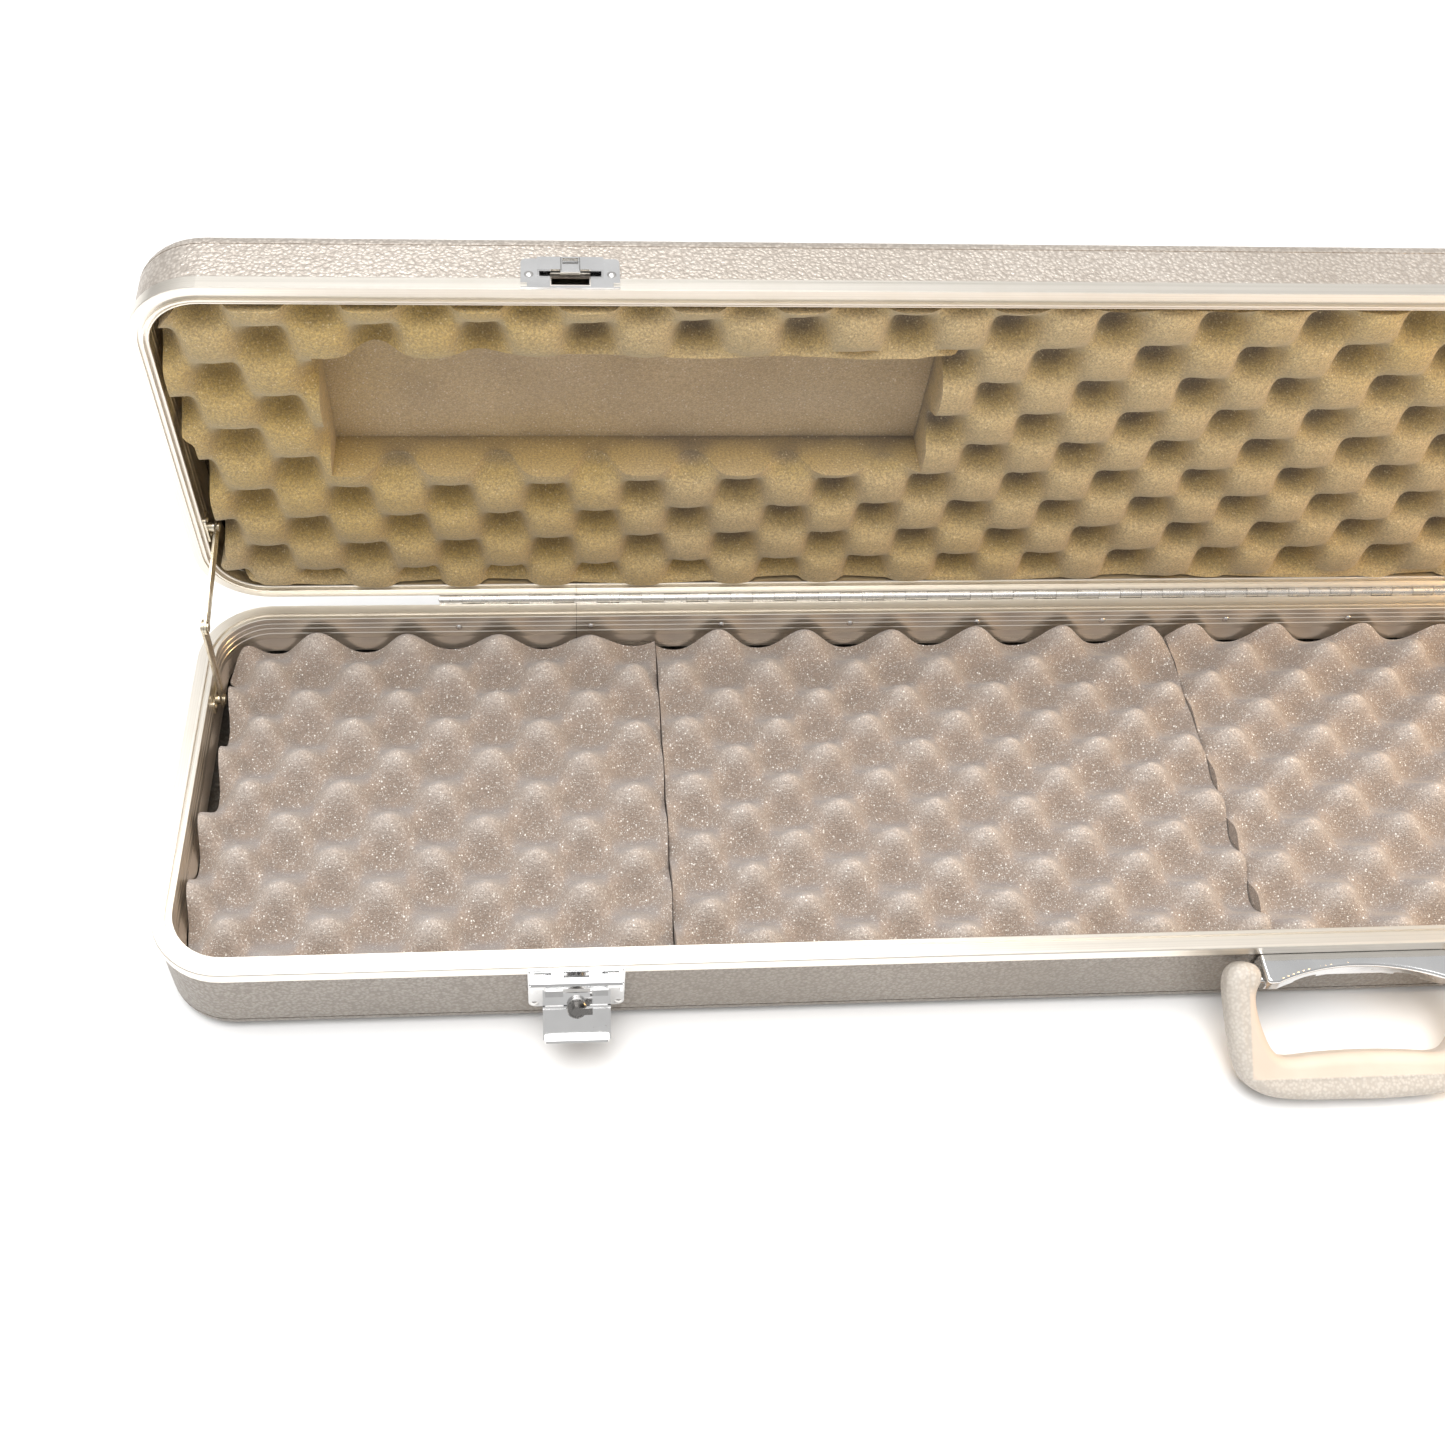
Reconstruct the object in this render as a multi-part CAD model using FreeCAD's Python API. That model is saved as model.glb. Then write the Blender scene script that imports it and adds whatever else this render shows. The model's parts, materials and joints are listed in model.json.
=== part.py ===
import FreeCAD, Part
import math
import os

# Long, shallow hinged case with a sheet shell, extruded rim frames, two latches, a carrying
# handle, folding lid stays and foam; the lid stands open and the latch levers hang down.
# Parts are modelled in the rim frame: x left to right about the middle, y from the front
# face (0) to the back face (CASE_W), z up from the base rim plane. Lid parts are modelled
# closed, then swung open. Export centres the depth on y = 0 and puts the floor on z = 0.
# All lengths are in mm.

Vector = FreeCAD.Vector
X_AXIS = Vector(1, 0, 0)
Y_AXIS = Vector(0, 1, 0)
Z_AXIS = Vector(0, 0, 1)
ORIGIN = Vector(0, 0, 0)

# ---------------------------------------------------------------- case
CASE_L = 1172.0          # outside length, left to right
CASE_W = 229.0           # outside width, front to back
BASE_H = 55.0            # base tub, floor to rim plane
LID_H = 40.0             # lid, rim plane to outside top
CORNER_R = 36.6          # plan corner radius at the rim
EDGE_R = 9.0             # rounding between shell walls and shell panel
SKIN_T = 1.2             # shell sheet thickness
SKIN_INSET = 1.15        # shell outer face behind the frame outer face
RIM_W = 10.1             # frame width at the rim
BASE_FACE_H = 6.5        # frame outer face height, base
LID_FACE_H = 7.8         # frame outer face height, lid
WALL_DEPTH = 25.0        # frame inner wall depth
RIM_GAP = 0.2            # air between closed rims
FRAME_SEAM_X = -380.2    # butt joint of each frame, back wall
FRAME_SEAM_W = 0.2
FIT_GAP = 0.05           # air between a fitted part and its seat
OVERLAP = 0.01           # how far joined shapes run into each other

HALF_L = CASE_L / 2
LEFT = -HALF_L
SKIN_INNER = SKIN_INSET + SKIN_T        # shell inner face behind the frame outer face

# ---------------------------------------------------------------- hinge
LID_OPEN = 85.0          # lid angle from closed, degrees
HINGE_Y = CASE_W + 3.4   # hinge axis, behind the frame back face
HINGE_Z = 0.1            # hinge axis above the base rim plane
HINGE_L = 914.4
KNUCKLE = 12.7           # knuckle length
KNUCKLE_R = 3.1
HINGE_PIN_R = 1.25
LEAF_T = 1.2
LEAF_H = 14.0
LEAF_Y = CASE_W + FIT_GAP               # leaf inner face
LEAF_BACK = LEAF_Y + LEAF_T             # leaf outer face
RIVET_PITCH = 74.4
RIVET_N = 13
RIVET_X = [(i - (RIVET_N - 1) / 2) * RIVET_PITCH for i in range(RIVET_N)]
BASE_RIVET_Z = -8.5
LID_RIVET_Z = 8.5 + RIM_GAP

# ---------------------------------------------------------------- lid stays
# Hinge axis, base pivot, elbow and lid pivot form a rhombus; pivots are (y, z).
STAY_R = 60.0            # side of the rhombus
STAY_REACH = 58.4        # base pivot in front of the hinge axis
BASE_PIVOT = (HINGE_Y - STAY_REACH, HINGE_Z - math.sqrt(STAY_R ** 2 - STAY_REACH ** 2))
LID_PIVOT_OPEN = (HINGE_Y, HINGE_Z + STAY_R)
ELBOW = (BASE_PIVOT[0] + LID_PIVOT_OPEN[0] - HINGE_Y,
         BASE_PIVOT[1] + LID_PIVOT_OPEN[1] - HINGE_Z)
LID_PIVOT_CLOSED = (HINGE_Y - STAY_R * math.sin(math.radians(LID_OPEN)),
                    HINGE_Z + STAY_R * math.cos(math.radians(LID_OPEN)))
ARM_W = 8.0
LOWER_ARM = (13.4, 14.6)     # lower arm faces, distance in from the case end
UPPER_ARM = (14.75, 15.95)   # upper arm faces
STAY_PIN_R = 1.5
STAY_HOLE_R = 1.55

# ---------------------------------------------------------------- latches
LATCH_CENTRES = (-384.0, 384.0)
LEVER_PIVOT = (-5.2, -9.0)   # (y, z)
LEVER_SWING = 135.0          # from latched to hanging open, degrees
LEVER_W = 32.4
LEVER_L = 27.4               # pivot to free edge
LEVER_PIN_R = 1.0
LEVER_HOLE_R = 1.05
BARREL_Z = LEVER_PIVOT[1] + 11.5        # lock barrel axis
PLATE_T = 1.0
PLATE_IN = -FIT_GAP                     # back face of the latch and keeper plates
PLATE_OUT = PLATE_IN - PLATE_T
PLATE_W = 46.4
PLATE_Z0 = -37.0             # lower edge of the latch plate
HOOD_X = 21.8                # half width of the latch hood
CHEEK_T = 1.4                # cheek thickness, latch and handle bracket
LATCH_RIVET_X = 20.4         # rivets either side of the latch centre
LATCH_RIVET_Z = -34.0
KEEPER_RIVET_X = 18.7
KEEPER_RIVET_Z = 8.9
RIVET_HOLE_R = 1.3

# ---------------------------------------------------------------- handle
HANDLE_PIVOT = (-9.9, -13.8)     # (y, z)
HANDLE_DROP = 37.0               # slope below horizontal, degrees
HANDLE_T = 15.0
HANDLE_PIN_R = 1.8
HANDLE_HOLE_R = 1.85
PIN_INNER_X = 45.4               # inner end of the handle pins
BRACKET_X = 48.3                 # half width of the bracket
SHELF_Z = -6.9                   # bracket shelf top, just under the frame face
SCREW_X = (-30.0, 30.0)
SCREW_Z = -20.0
SCREW_R = 1.5
SCREW_HOLE_R = 1.6

# ---------------------------------------------------------------- foam
FOAM_SIDE = 12.9         # foam to case end, clear of the frame wall
ARM_SIDE = 17.6          # foam stands back this far where the stays fold
NOTCH_Y0 = 104.0         # front end of the stay notches
FOAM_FRONT_Y = 12.9
FOAM_END_R = 24.0        # vertical corner radius
PAD_SEAMS = (-335.2, -35.4, 264.4)
PAD_GAP = 0.5            # between neighbouring base pads
PAD_BACK_Y = CASE_W - 14.5
PAD_TOP = -5.2
LID_FOAM_BACK_Y = CASE_W - 13.5
LID_FOAM_FRONT = -3.0    # foam face stands this far past the base rim plane
LID_FOAM_SPLIT = 25.6    # between the foam sheet and its backing
FOAM_GAP = 0.1           # between foam and the panel or sheet behind it
WINDOW_X = (-504.0, -201.5)
WINDOW_Y = (47.0, 124.5)

os.makedirs("parts", exist_ok=True)


# ---------------------------------------------------------------- helpers
def box(x0, x1, y0, y1, z0, z1):
    return Part.makeBox(x1 - x0, y1 - y0, z1 - z0, Vector(x0, y0, z0))


def x_cylinder(x0, x1, y, z, radius):
    return Part.makeCylinder(radius, x1 - x0, Vector(x0, y, z), X_AXIS)


def y_cylinder(y0, y1, x, z, radius):
    return Part.makeCylinder(radius, y1 - y0, Vector(x, y0, z), Y_AXIS)


def polygon(points):
    return Part.Face(Part.makePolygon([Vector(*p) for p in points] + [Vector(*points[0])]))


def x_prism(profile, x0, x1):
    """Profile of (y, z) points extruded from x0 to x1."""
    return polygon([(x0, y, z) for y, z in profile]).extrude(Vector(x1 - x0, 0, 0))


def dome(center, axis, radius, height):
    """Low round head on a plane at center, bulging along axis."""
    sphere_r = (radius * radius + height * height) / (2 * height)
    sphere = Part.makeSphere(sphere_r, center - axis * (sphere_r - height))
    return sphere.common(Part.makeCylinder(radius + 0.01, height + 0.01, center, axis))


def case_outline(inset, z, radius=None):
    """Plan face of the case, moved inwards by inset, at height z."""
    if radius is None:
        radius = CORNER_R - inset
    x0, x1 = -HALF_L + inset, HALF_L - inset
    y0, y1 = inset, CASE_W - inset
    bulge = radius * (1 - math.sqrt(0.5))

    def line(ax, ay, bx, by):
        return Part.makeLine(Vector(ax, ay, z), Vector(bx, by, z))

    def arc(ax, ay, bx, by, cx, cy):
        return Part.Arc(Vector(ax, ay, z), Vector(bx, by, z), Vector(cx, cy, z)).toShape()

    return Part.Face(Part.Wire([
        line(x0 + radius, y0, x1 - radius, y0),
        arc(x1 - radius, y0, x1 - bulge, y0 + bulge, x1, y0 + radius),
        line(x1, y0 + radius, x1, y1 - radius),
        arc(x1, y1 - radius, x1 - bulge, y1 - bulge, x1 - radius, y1),
        line(x1 - radius, y1, x0 + radius, y1),
        arc(x0 + radius, y1, x0 + bulge, y1 - bulge, x0, y1 - radius),
        line(x0, y1 - radius, x0, y0 + radius),
        arc(x0, y0 + radius, x0 + bulge, y0 + bulge, x0 + radius, y0)]))


def edges_where(shape, test):
    """Edges whose bounding box passes the test."""
    return [e for e in shape.Edges if test(e.BoundBox)]


def circles(shape):
    return [e for e in shape.Edges if e.Curve.TypeId == 'Part::GeomCircle']


def near(value, target):
    return abs(value - target) < 1e-6


def only_solid(shape):
    solids = shape.Solids
    assert len(solids) == 1, "expected one solid, got %d" % len(solids)
    return solids[0]


def group(shapes):
    return Part.makeCompound(shapes)


def mirror_x(shape):
    return shape.mirror(ORIGIN, X_AXIS)


def export(name, shape, lid=False):
    placed = shape.copy()
    if lid:
        placed.rotate(Vector(0, HINGE_Y, HINGE_Z), X_AXIS, -LID_OPEN)
        placed = placed.copy()
    placed.translate(Vector(0, -CASE_W / 2, BASE_H))
    assert placed.isValid(), name
    placed.exportStep("parts/%s.step" % name)


# ---------------------------------------------------------------- holes shared by several parts
def hinge_holes(z):
    """Through leaf, shell and frame."""
    return group([y_cylinder(CASE_W - 15, CASE_W + 3, x, z, 1.25) for x in RIVET_X])


def at_latches(spacing):
    """x of the two fixings, spacing either side of each latch centre."""
    return [center + x for center in LATCH_CENTRES for x in (-spacing, spacing)]


def plate_holes(xs, z, radius):
    """Through the front shell wall."""
    return [y_cylinder(-2, 4, x, z, radius) for x in xs]


def keeper_pockets():
    """Recesses behind the keeper openings."""
    return [box(x - 8.6, x + 8.6, -1, 3.0, 3.2, 9.8) for x in LATCH_CENTRES]


# ---------------------------------------------------------------- shells
def make_tub(depth, top_edge):
    """Open tray: panel at z = -depth, wall up to z = top_edge."""
    height = depth + top_edge
    outer = case_outline(SKIN_INSET, -depth).extrude(Vector(0, 0, height))
    inner = case_outline(SKIN_INNER, -depth + SKIN_T).extrude(Vector(0, 0, height + 5))
    bottom = edges_where(outer, lambda b: abs(b.ZMax + depth) < 1e-4)
    outer = outer.makeFillet(EDGE_R, bottom)
    bottom = edges_where(inner, lambda b: abs(b.ZMax + depth - SKIN_T) < 1e-4)
    inner = inner.makeFillet(EDGE_R - SKIN_T, bottom)
    tub = outer.cut(inner)

    # crease line where the wall runs into the rounded edge
    crease_w, crease_depth = 0.7, 0.35
    crease_z = -depth + EDGE_R + 0.6 - crease_w / 2
    rise = Vector(0, 0, crease_w)
    crease = case_outline(SKIN_INSET - 1.0, crease_z).extrude(rise).cut(
        case_outline(SKIN_INSET + crease_depth, crease_z).extrude(rise))
    return tub.cut(crease)


def make_base_shell():
    shell = make_tub(BASE_H, -2.5).cut(hinge_holes(BASE_RIVET_Z))
    shell = shell.cut(group(plate_holes(at_latches(LATCH_RIVET_X), LATCH_RIVET_Z, RIVET_HOLE_R)))
    return only_solid(shell.cut(group(plate_holes(SCREW_X, SCREW_Z, SCREW_HOLE_R))))


def make_lid_shell():
    shell = make_tub(LID_H, -2.9).mirror(ORIGIN, Z_AXIS).cut(hinge_holes(LID_RIVET_Z))
    holes = plate_holes(at_latches(KEEPER_RIVET_X), KEEPER_RIVET_Z, RIVET_HOLE_R)
    return only_solid(shell.cut(group(holes + keeper_pockets())))


# ---------------------------------------------------------------- rim frames
# Extrusion sections: (distance in from the outer face, height)
BASE_PROFILE = [
    (0.0, -BASE_FACE_H + 0.3), (0.3, -BASE_FACE_H), (1.1, -BASE_FACE_H), (1.1, -2.4),
    (2.4, -2.4), (2.4, -6.0), (3.4, -6.0), (3.4, -2.4), (5.2, -2.4), (5.2, -3.4), (8.7, -3.4),
    (8.7, -16.5), (10.9, -WALL_DEPTH), (12.1, -WALL_DEPTH), (12.3, -WALL_DEPTH + 0.4),
    # inner face with three small grooves
    (RIM_W, -16.2), (RIM_W, -12.3), (9.85, -12.0), (9.85, -11.6), (RIM_W, -11.3),
    (RIM_W, -8.0), (9.85, -7.7), (9.85, -7.3), (RIM_W, -7.0),
    (RIM_W, -4.3), (9.85, -4.0), (9.85, -3.6), (RIM_W, -3.3),
    # rim with the groove for the lid tongue
    (RIM_W, -0.3), (9.8, 0.0), (7.9, 0.0), (7.9, -1.6), (6.3, -1.6), (6.3, 0.0),
    (0.4, 0.0), (0.0, -0.4)]
LID_PROFILE = [
    (0.0, LID_FACE_H - 0.3), (0.3, LID_FACE_H), (1.1, LID_FACE_H), (1.1, 2.8),
    (2.4, 2.8), (2.4, 6.6), (3.4, 6.6), (3.4, 2.8), (8.7, 2.8),
    (8.7, 16.5), (10.9, WALL_DEPTH), (12.1, WALL_DEPTH), (12.3, WALL_DEPTH - 0.4),
    # inner face with two small grooves
    (RIM_W, 16.2), (RIM_W, 12.3), (9.85, 12.0), (9.85, 11.6), (RIM_W, 11.3),
    (RIM_W, 8.0), (9.85, 7.7), (9.85, 7.3), (RIM_W, 7.0),
    # rim with its tongue
    (RIM_W, RIM_GAP + 0.3), (9.8, RIM_GAP), (9.2, RIM_GAP), (9.2, RIM_GAP + 1.0),
    (7.6, RIM_GAP + 1.0), (7.6, -1.0), (6.6, -1.0), (6.6, RIM_GAP + 1.0),
    (4.8, RIM_GAP + 1.0), (4.8, RIM_GAP), (0.4, RIM_GAP), (0.0, RIM_GAP + 0.4)]


def rim_sweep(profile):
    """Carry a section round the rounded rectangle of the case."""
    mid_y = CASE_W / 2
    straight_x = HALF_L - CORNER_R          # half lengths of the straight runs
    straight_y = mid_y - CORNER_R
    runs = []
    for outer_y, inward in ((0, 1), (CASE_W, -1)):
        face = polygon([(-straight_x, outer_y + inward * d, z) for d, z in profile])
        runs.append(face.extrude(Vector(2 * straight_x, 0, 0)))
    for outer_x, inward in ((-HALF_L, 1), (HALF_L, -1)):
        face = polygon([(outer_x + inward * d, mid_y - straight_y, z) for d, z in profile])
        runs.append(face.extrude(Vector(0, 2 * straight_y, 0)))
    for side_x, side_y, start in ((-1, -1, 180), (1, -1, 270), (1, 1, 0), (-1, 1, 90)):
        center = Vector(side_x * straight_x, mid_y + side_y * straight_y, 0)
        angle = math.radians(start)
        face = polygon([(center.x + (CORNER_R - d) * math.cos(angle),
                         center.y + (CORNER_R - d) * math.sin(angle), z) for d, z in profile])
        runs.append(face.revolve(center, Z_AXIS, 90))
    return runs[0].multiFuse(runs[1:]).removeSplitter()


def frame_seam(z0, z1):
    """Thin gap through the back wall where the ends of the frame meet."""
    half = FRAME_SEAM_W / 2
    return box(FRAME_SEAM_X - half, FRAME_SEAM_X + half, CASE_W - 14, CASE_W + 2, z0, z1)


def make_base_frame():
    frame = rim_sweep(BASE_PROFILE).cut(frame_seam(-30, 2))
    return only_solid(frame.cut(hinge_holes(BASE_RIVET_Z)))


def make_lid_frame():
    frame = rim_sweep(LID_PROFILE).cut(frame_seam(-2, 30))
    frame = frame.cut(hinge_holes(LID_RIVET_Z))
    frame = frame.cut(group(keeper_pockets()))
    # clearance round the tails and shanks of the keeper rivets
    xs = at_latches(KEEPER_RIVET_X)
    return only_solid(frame.cut(group(
        [y_cylinder(0.5, 4.5, x, KEEPER_RIVET_Z, 2.2) for x in xs]
        + [y_cylinder(-1.0, 1.0, x, KEEPER_RIVET_Z, 1.4) for x in xs])))


# ---------------------------------------------------------------- continuous hinge
def make_leaf(side, rivet_z):
    """side -1: base leaf below the axis, +1: lid leaf above the axis."""
    half = HINGE_L / 2
    plate = box(-half, half, LEAF_Y, LEAF_BACK, *sorted((HINGE_Z, HINGE_Z + side * LEAF_H)))
    # angled leaf ends
    cut_y = LEAF_Y - 1
    far_z = HINGE_Z + side * (LEAF_H + 0.1)
    for end in (-1, 1):
        corner = polygon([(end * half, cut_y, far_z),
                          (end * (half - 5.0), cut_y, far_z),
                          (end * (half + 0.1), cut_y, HINGE_Z + side * (LEAF_H - 6.0)),
                          (end * (half + 0.1), cut_y, far_z)])
        plate = plate.cut(corner.extrude(Vector(0, 4, 0)))
    barrel = x_cylinder(-half, half, HINGE_Y, HINGE_Z, KNUCKLE_R)
    bore = x_cylinder(-half - 1, half + 1, HINGE_Y, HINGE_Z, HINGE_PIN_R + 0.05)
    leaf = plate.fuse(barrel).cut(bore)

    # gaps for the knuckles of the other leaf, cut past the ends of the hinge
    count = int(round(HINGE_L / KNUCKLE))
    first = 0 if side > 0 else 1
    back_y = HINGE_Y + 5
    gaps = []
    for i in range(first, count, 2):
        start = -half + i * KNUCKLE
        x0 = start - (0.1 if i > 0 else 1)
        x1 = start + KNUCKLE + (0.1 if i < count - 1 else 1)
        z_range = sorted((HINGE_Z + side * 2.9, HINGE_Z - side * 5))
        gaps.append(box(x0, x1, CASE_W - 1, back_y, *z_range))
        gaps.append(box(x0, x1, LEAF_BACK, back_y, HINGE_Z - 5, HINGE_Z + 5))
    return only_solid(leaf.cut(group(gaps)).cut(hinge_holes(rivet_z)))


def make_hinge_pin():
    end = HINGE_L / 2 + 0.6
    pin = x_cylinder(-end, end, HINGE_Y, HINGE_Z, HINGE_PIN_R)
    return pin.makeChamfer(0.4, circles(pin))


def make_hinge_rivet(x, z):
    """Domed head on the inner frame wall, low tail on the leaf."""
    inner_y = CASE_W - RIM_W
    shank = y_cylinder(inner_y - 0.2, LEAF_BACK + 0.1, x, z, 1.2)
    head = dome(Vector(x, inner_y - OVERLAP, z), -Y_AXIS, 1.95, 1.1)
    tail = dome(Vector(x, LEAF_BACK + OVERLAP, z), Y_AXIS, 1.9, 0.7)
    return only_solid(shank.fuse([head, tail]).removeSplitter())


# ---------------------------------------------------------------- lid stays, left side
def make_arm(start, end, faces):
    """Flat round-ended link between two pivots, lid open."""
    dy, dz = end[0] - start[0], end[1] - start[1]
    length = math.hypot(dy, dz)
    along_y, along_z = dy / length, dz / length
    half_w = ARM_W / 2
    side_y, side_z = -along_z * half_w, along_y * half_w
    x0, x1 = LEFT + faces[0], LEFT + faces[1]
    arm = x_prism([(start[0] + side_y, start[1] + side_z), (end[0] + side_y, end[1] + side_z),
                   (end[0] - side_y, end[1] - side_z), (start[0] - side_y, start[1] - side_z)],
                  x0, x1)
    arm = arm.fuse([x_cylinder(x0, x1, *p, half_w) for p in (start, end)]).removeSplitter()
    arm = arm.cut(group([x_cylinder(x0 - 1, x1 + 1, *p, STAY_HOLE_R) for p in (start, end)]))

    # shallow channel along the inner face of the link
    channel_l, channel_w, channel_depth = length - ARM_W - 8, 2.2, 0.35
    channel = Part.makeBox(0.9, channel_l, channel_w,
                           Vector(x1 - channel_depth, -channel_l / 2, -channel_w / 2))
    channel.rotate(ORIGIN, X_AXIS, math.degrees(math.atan2(along_z, along_y)))
    channel.translate(Vector(0, (start[0] + end[0]) / 2, (start[1] + end[1]) / 2))
    return only_solid(arm.cut(channel))


def make_stud(pivot, arm_faces, tip, foot_low):
    """Riveted foot on the frame inner wall with a shouldered stud through one arm.

    tip is the base of the end dome, in from the case end; foot_low is how far the foot
    reaches below the pivot.
    """
    y, z = pivot
    foot_t, foot_half_w, foot_h = 1.2, 9, 8.4
    wall_x = LEFT + RIM_W + 0.02
    foot_z = z - foot_low
    tip_x = LEFT + tip
    foot = box(wall_x, wall_x + foot_t, y - foot_half_w, y + foot_half_w, foot_z, foot_z + foot_h)
    foot = foot.makeFillet(2.0, edges_where(foot, lambda b: near(b.XLength, foot_t)))
    neck = x_cylinder(wall_x + 1.1, LEFT + arm_faces[0] - FIT_GAP, y, z, 2.6)
    pin = x_cylinder(wall_x + 1.0, tip_x, y, z, STAY_PIN_R)
    head = x_cylinder(LEFT + arm_faces[1] + FIT_GAP, tip_x, y, z, 2.5)
    cap = dome(Vector(tip_x - OVERLAP, y, z), X_AXIS, 2.5, 0.5)
    rivets = [dome(Vector(wall_x + foot_t - OVERLAP, y + offset, foot_z + foot_h / 2),
                   X_AXIS, 1.6, 0.8) for offset in (-6, 6)]
    return only_solid(foot.fuse([neck, pin, head, cap] + rivets).removeSplitter())


def make_elbow_rivet():
    y, z = ELBOW
    head_r = 2.7
    x0, x1 = LEFT + 12.7, LEFT + 16.65
    rivet = x_cylinder(x0, x1, y, z, STAY_PIN_R).fuse(
        [x_cylinder(x0, LEFT + LOWER_ARM[0] - FIT_GAP, y, z, head_r),
         x_cylinder(LEFT + UPPER_ARM[1] + FIT_GAP, x1, y, z, head_r),
         dome(Vector(x1 - OVERLAP, y, z), X_AXIS, head_r, 0.5),
         dome(Vector(x0 + OVERLAP, y, z), -X_AXIS, head_r, 0.5)])
    return only_solid(rivet.removeSplitter())


# ---------------------------------------------------------------- latch, about its centre x = 0
# Side sections as (y, z)
LATCH_HOOD_PROFILE = [
    (-1.0, -2.4), (-7.4, -2.6), (-8.4, -3.6), (-8.4, -6.0), (-7.3, -6.0), (-7.3, -3.8),
    (-7.1, -3.6), (-1.0, -3.5)]
LATCH_CHEEK_PROFILE = [
    (-1.0, -2.4), (-7.4, -2.6), (-8.4, -3.6), (-8.4, -10.0), (-6.6, -12.0), (-1.0, -13.5)]
KEEPER_HOOD_OUTER = [(-1.0, 19.2), (-3.6, 17.8), (-3.6, 9.4), (-1.0, 9.4)]
KEEPER_HOOD_INNER = [(-0.9, 18.0), (-2.6, 17.2), (-2.6, 9.0), (-0.9, 9.0)]


def lever_bore():
    return x_cylinder(-25, 25, *LEVER_PIVOT, LEVER_HOLE_R)


def make_latch_body():
    plate = box(-PLATE_W / 2, PLATE_W / 2, PLATE_OUT, PLATE_IN, PLATE_Z0, -1.0)
    lower_corners = edges_where(
        plate, lambda b: near(b.YLength, PLATE_T) and b.ZMax < PLATE_Z0 + 1)
    plate = plate.makeFillet(4.0, lower_corners)
    # hood with top and front lip, closed by two cheeks
    hood = x_prism(LATCH_HOOD_PROFILE, -HOOD_X, HOOD_X)
    cheeks = [x_prism(LATCH_CHEEK_PROFILE, x, x + CHEEK_T) for x in (-HOOD_X, HOOD_X - CHEEK_T)]
    body = plate.fuse([hood] + cheeks).removeSplitter()
    # centre window and two side slots in the hood top
    body = body.cut(group([box(-6.2, 6.2, -4.4, -1.2, -5, 0),
                           box(-20.4, -12.0, -3.0, -1.5, -5, 0),
                           box(12.0, 20.4, -3.0, -1.5, -5, 0)]))
    body = body.cut(lever_bore())
    body = body.cut(group([y_cylinder(-3, 1, x, LATCH_RIVET_Z, RIVET_HOLE_R)
                           for x in (-LATCH_RIVET_X, LATCH_RIVET_X)]))
    return only_solid(body)


def make_latch_pin():
    pin = x_cylinder(-22.6, 22.6, *LEVER_PIVOT, LEVER_PIN_R)
    return pin.makeChamfer(0.3, circles(pin))


def swing_down(shape):
    """Turn a latched shape about the lever pivot to its open place."""
    shape.rotate(Vector(0, *LEVER_PIVOT), X_AXIS, LEVER_SWING)
    return shape


def make_latch_lever():
    """Made latched: face plate in front of the hood, lip over the keeper."""
    half_w = LEVER_W / 2
    pivot_y, pivot_z = LEVER_PIVOT
    front_y, back_y, thick = -10.4, -9.2, 1.2
    top_z = pivot_z + LEVER_L
    face = box(-half_w, half_w, front_y, back_y, pivot_z + 3.4, top_z)
    # lip bent inwards along the free edge
    lip = box(-half_w + 0.8, half_w - 0.8, -9.3, -4.0, top_z - thick, top_z)
    tips = edges_where(lip, lambda b: near(b.ZLength, thick) and b.YMin > -4.5)
    lip = lip.makeFillet(1.6, tips)
    lever = face.fuse(lip).removeSplitter()
    bend = edges_where(lever, lambda b: b.XLength > 20 and near(b.YMin, front_y)
                       and near(b.ZMin, top_z))
    lever = lever.makeFillet(1.0, bend)
    # ridge across the inner side of the face
    ridge = x_prism([(back_y, pivot_z + 10.5), (-8.5, pivot_z + 11.0), (-8.5, pivot_z + 11.8),
                     (back_y, pivot_z + 12.7)], -half_w, half_w)
    lever = lever.fuse([ridge])
    # two wings folded back to eyes round the pivot, with a relief between them
    eye_r, wing_x, wing_inset = 2.4, 6.4, 1.2
    wing_profile = [(back_y, pivot_z + 6.6), (front_y, pivot_z + 6.6), (front_y, pivot_z + 2.4),
                    (-9.0, pivot_z - 1.6), (pivot_y, pivot_z - eye_r),
                    (pivot_y, pivot_z + eye_r), (-8.6, pivot_z + 2.6)]
    for x0, x1 in ((-half_w + wing_inset, -wing_x), (wing_x, half_w - wing_inset)):
        wing = x_prism(wing_profile, x0, x1)
        lever = lever.fuse([wing, x_cylinder(x0, x1, pivot_y, pivot_z, eye_r)])
    lever = lever.removeSplitter()
    lever = lever.cut(box(-wing_x, wing_x, -12, -8.0, pivot_z + 3.0, pivot_z + 4.7))
    lever = lever.cut(lever_bore())
    lever = lever.cut(y_cylinder(-14, -7.0, 0, BARREL_Z, 4.80))
    return swing_down(only_solid(lever))


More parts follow.
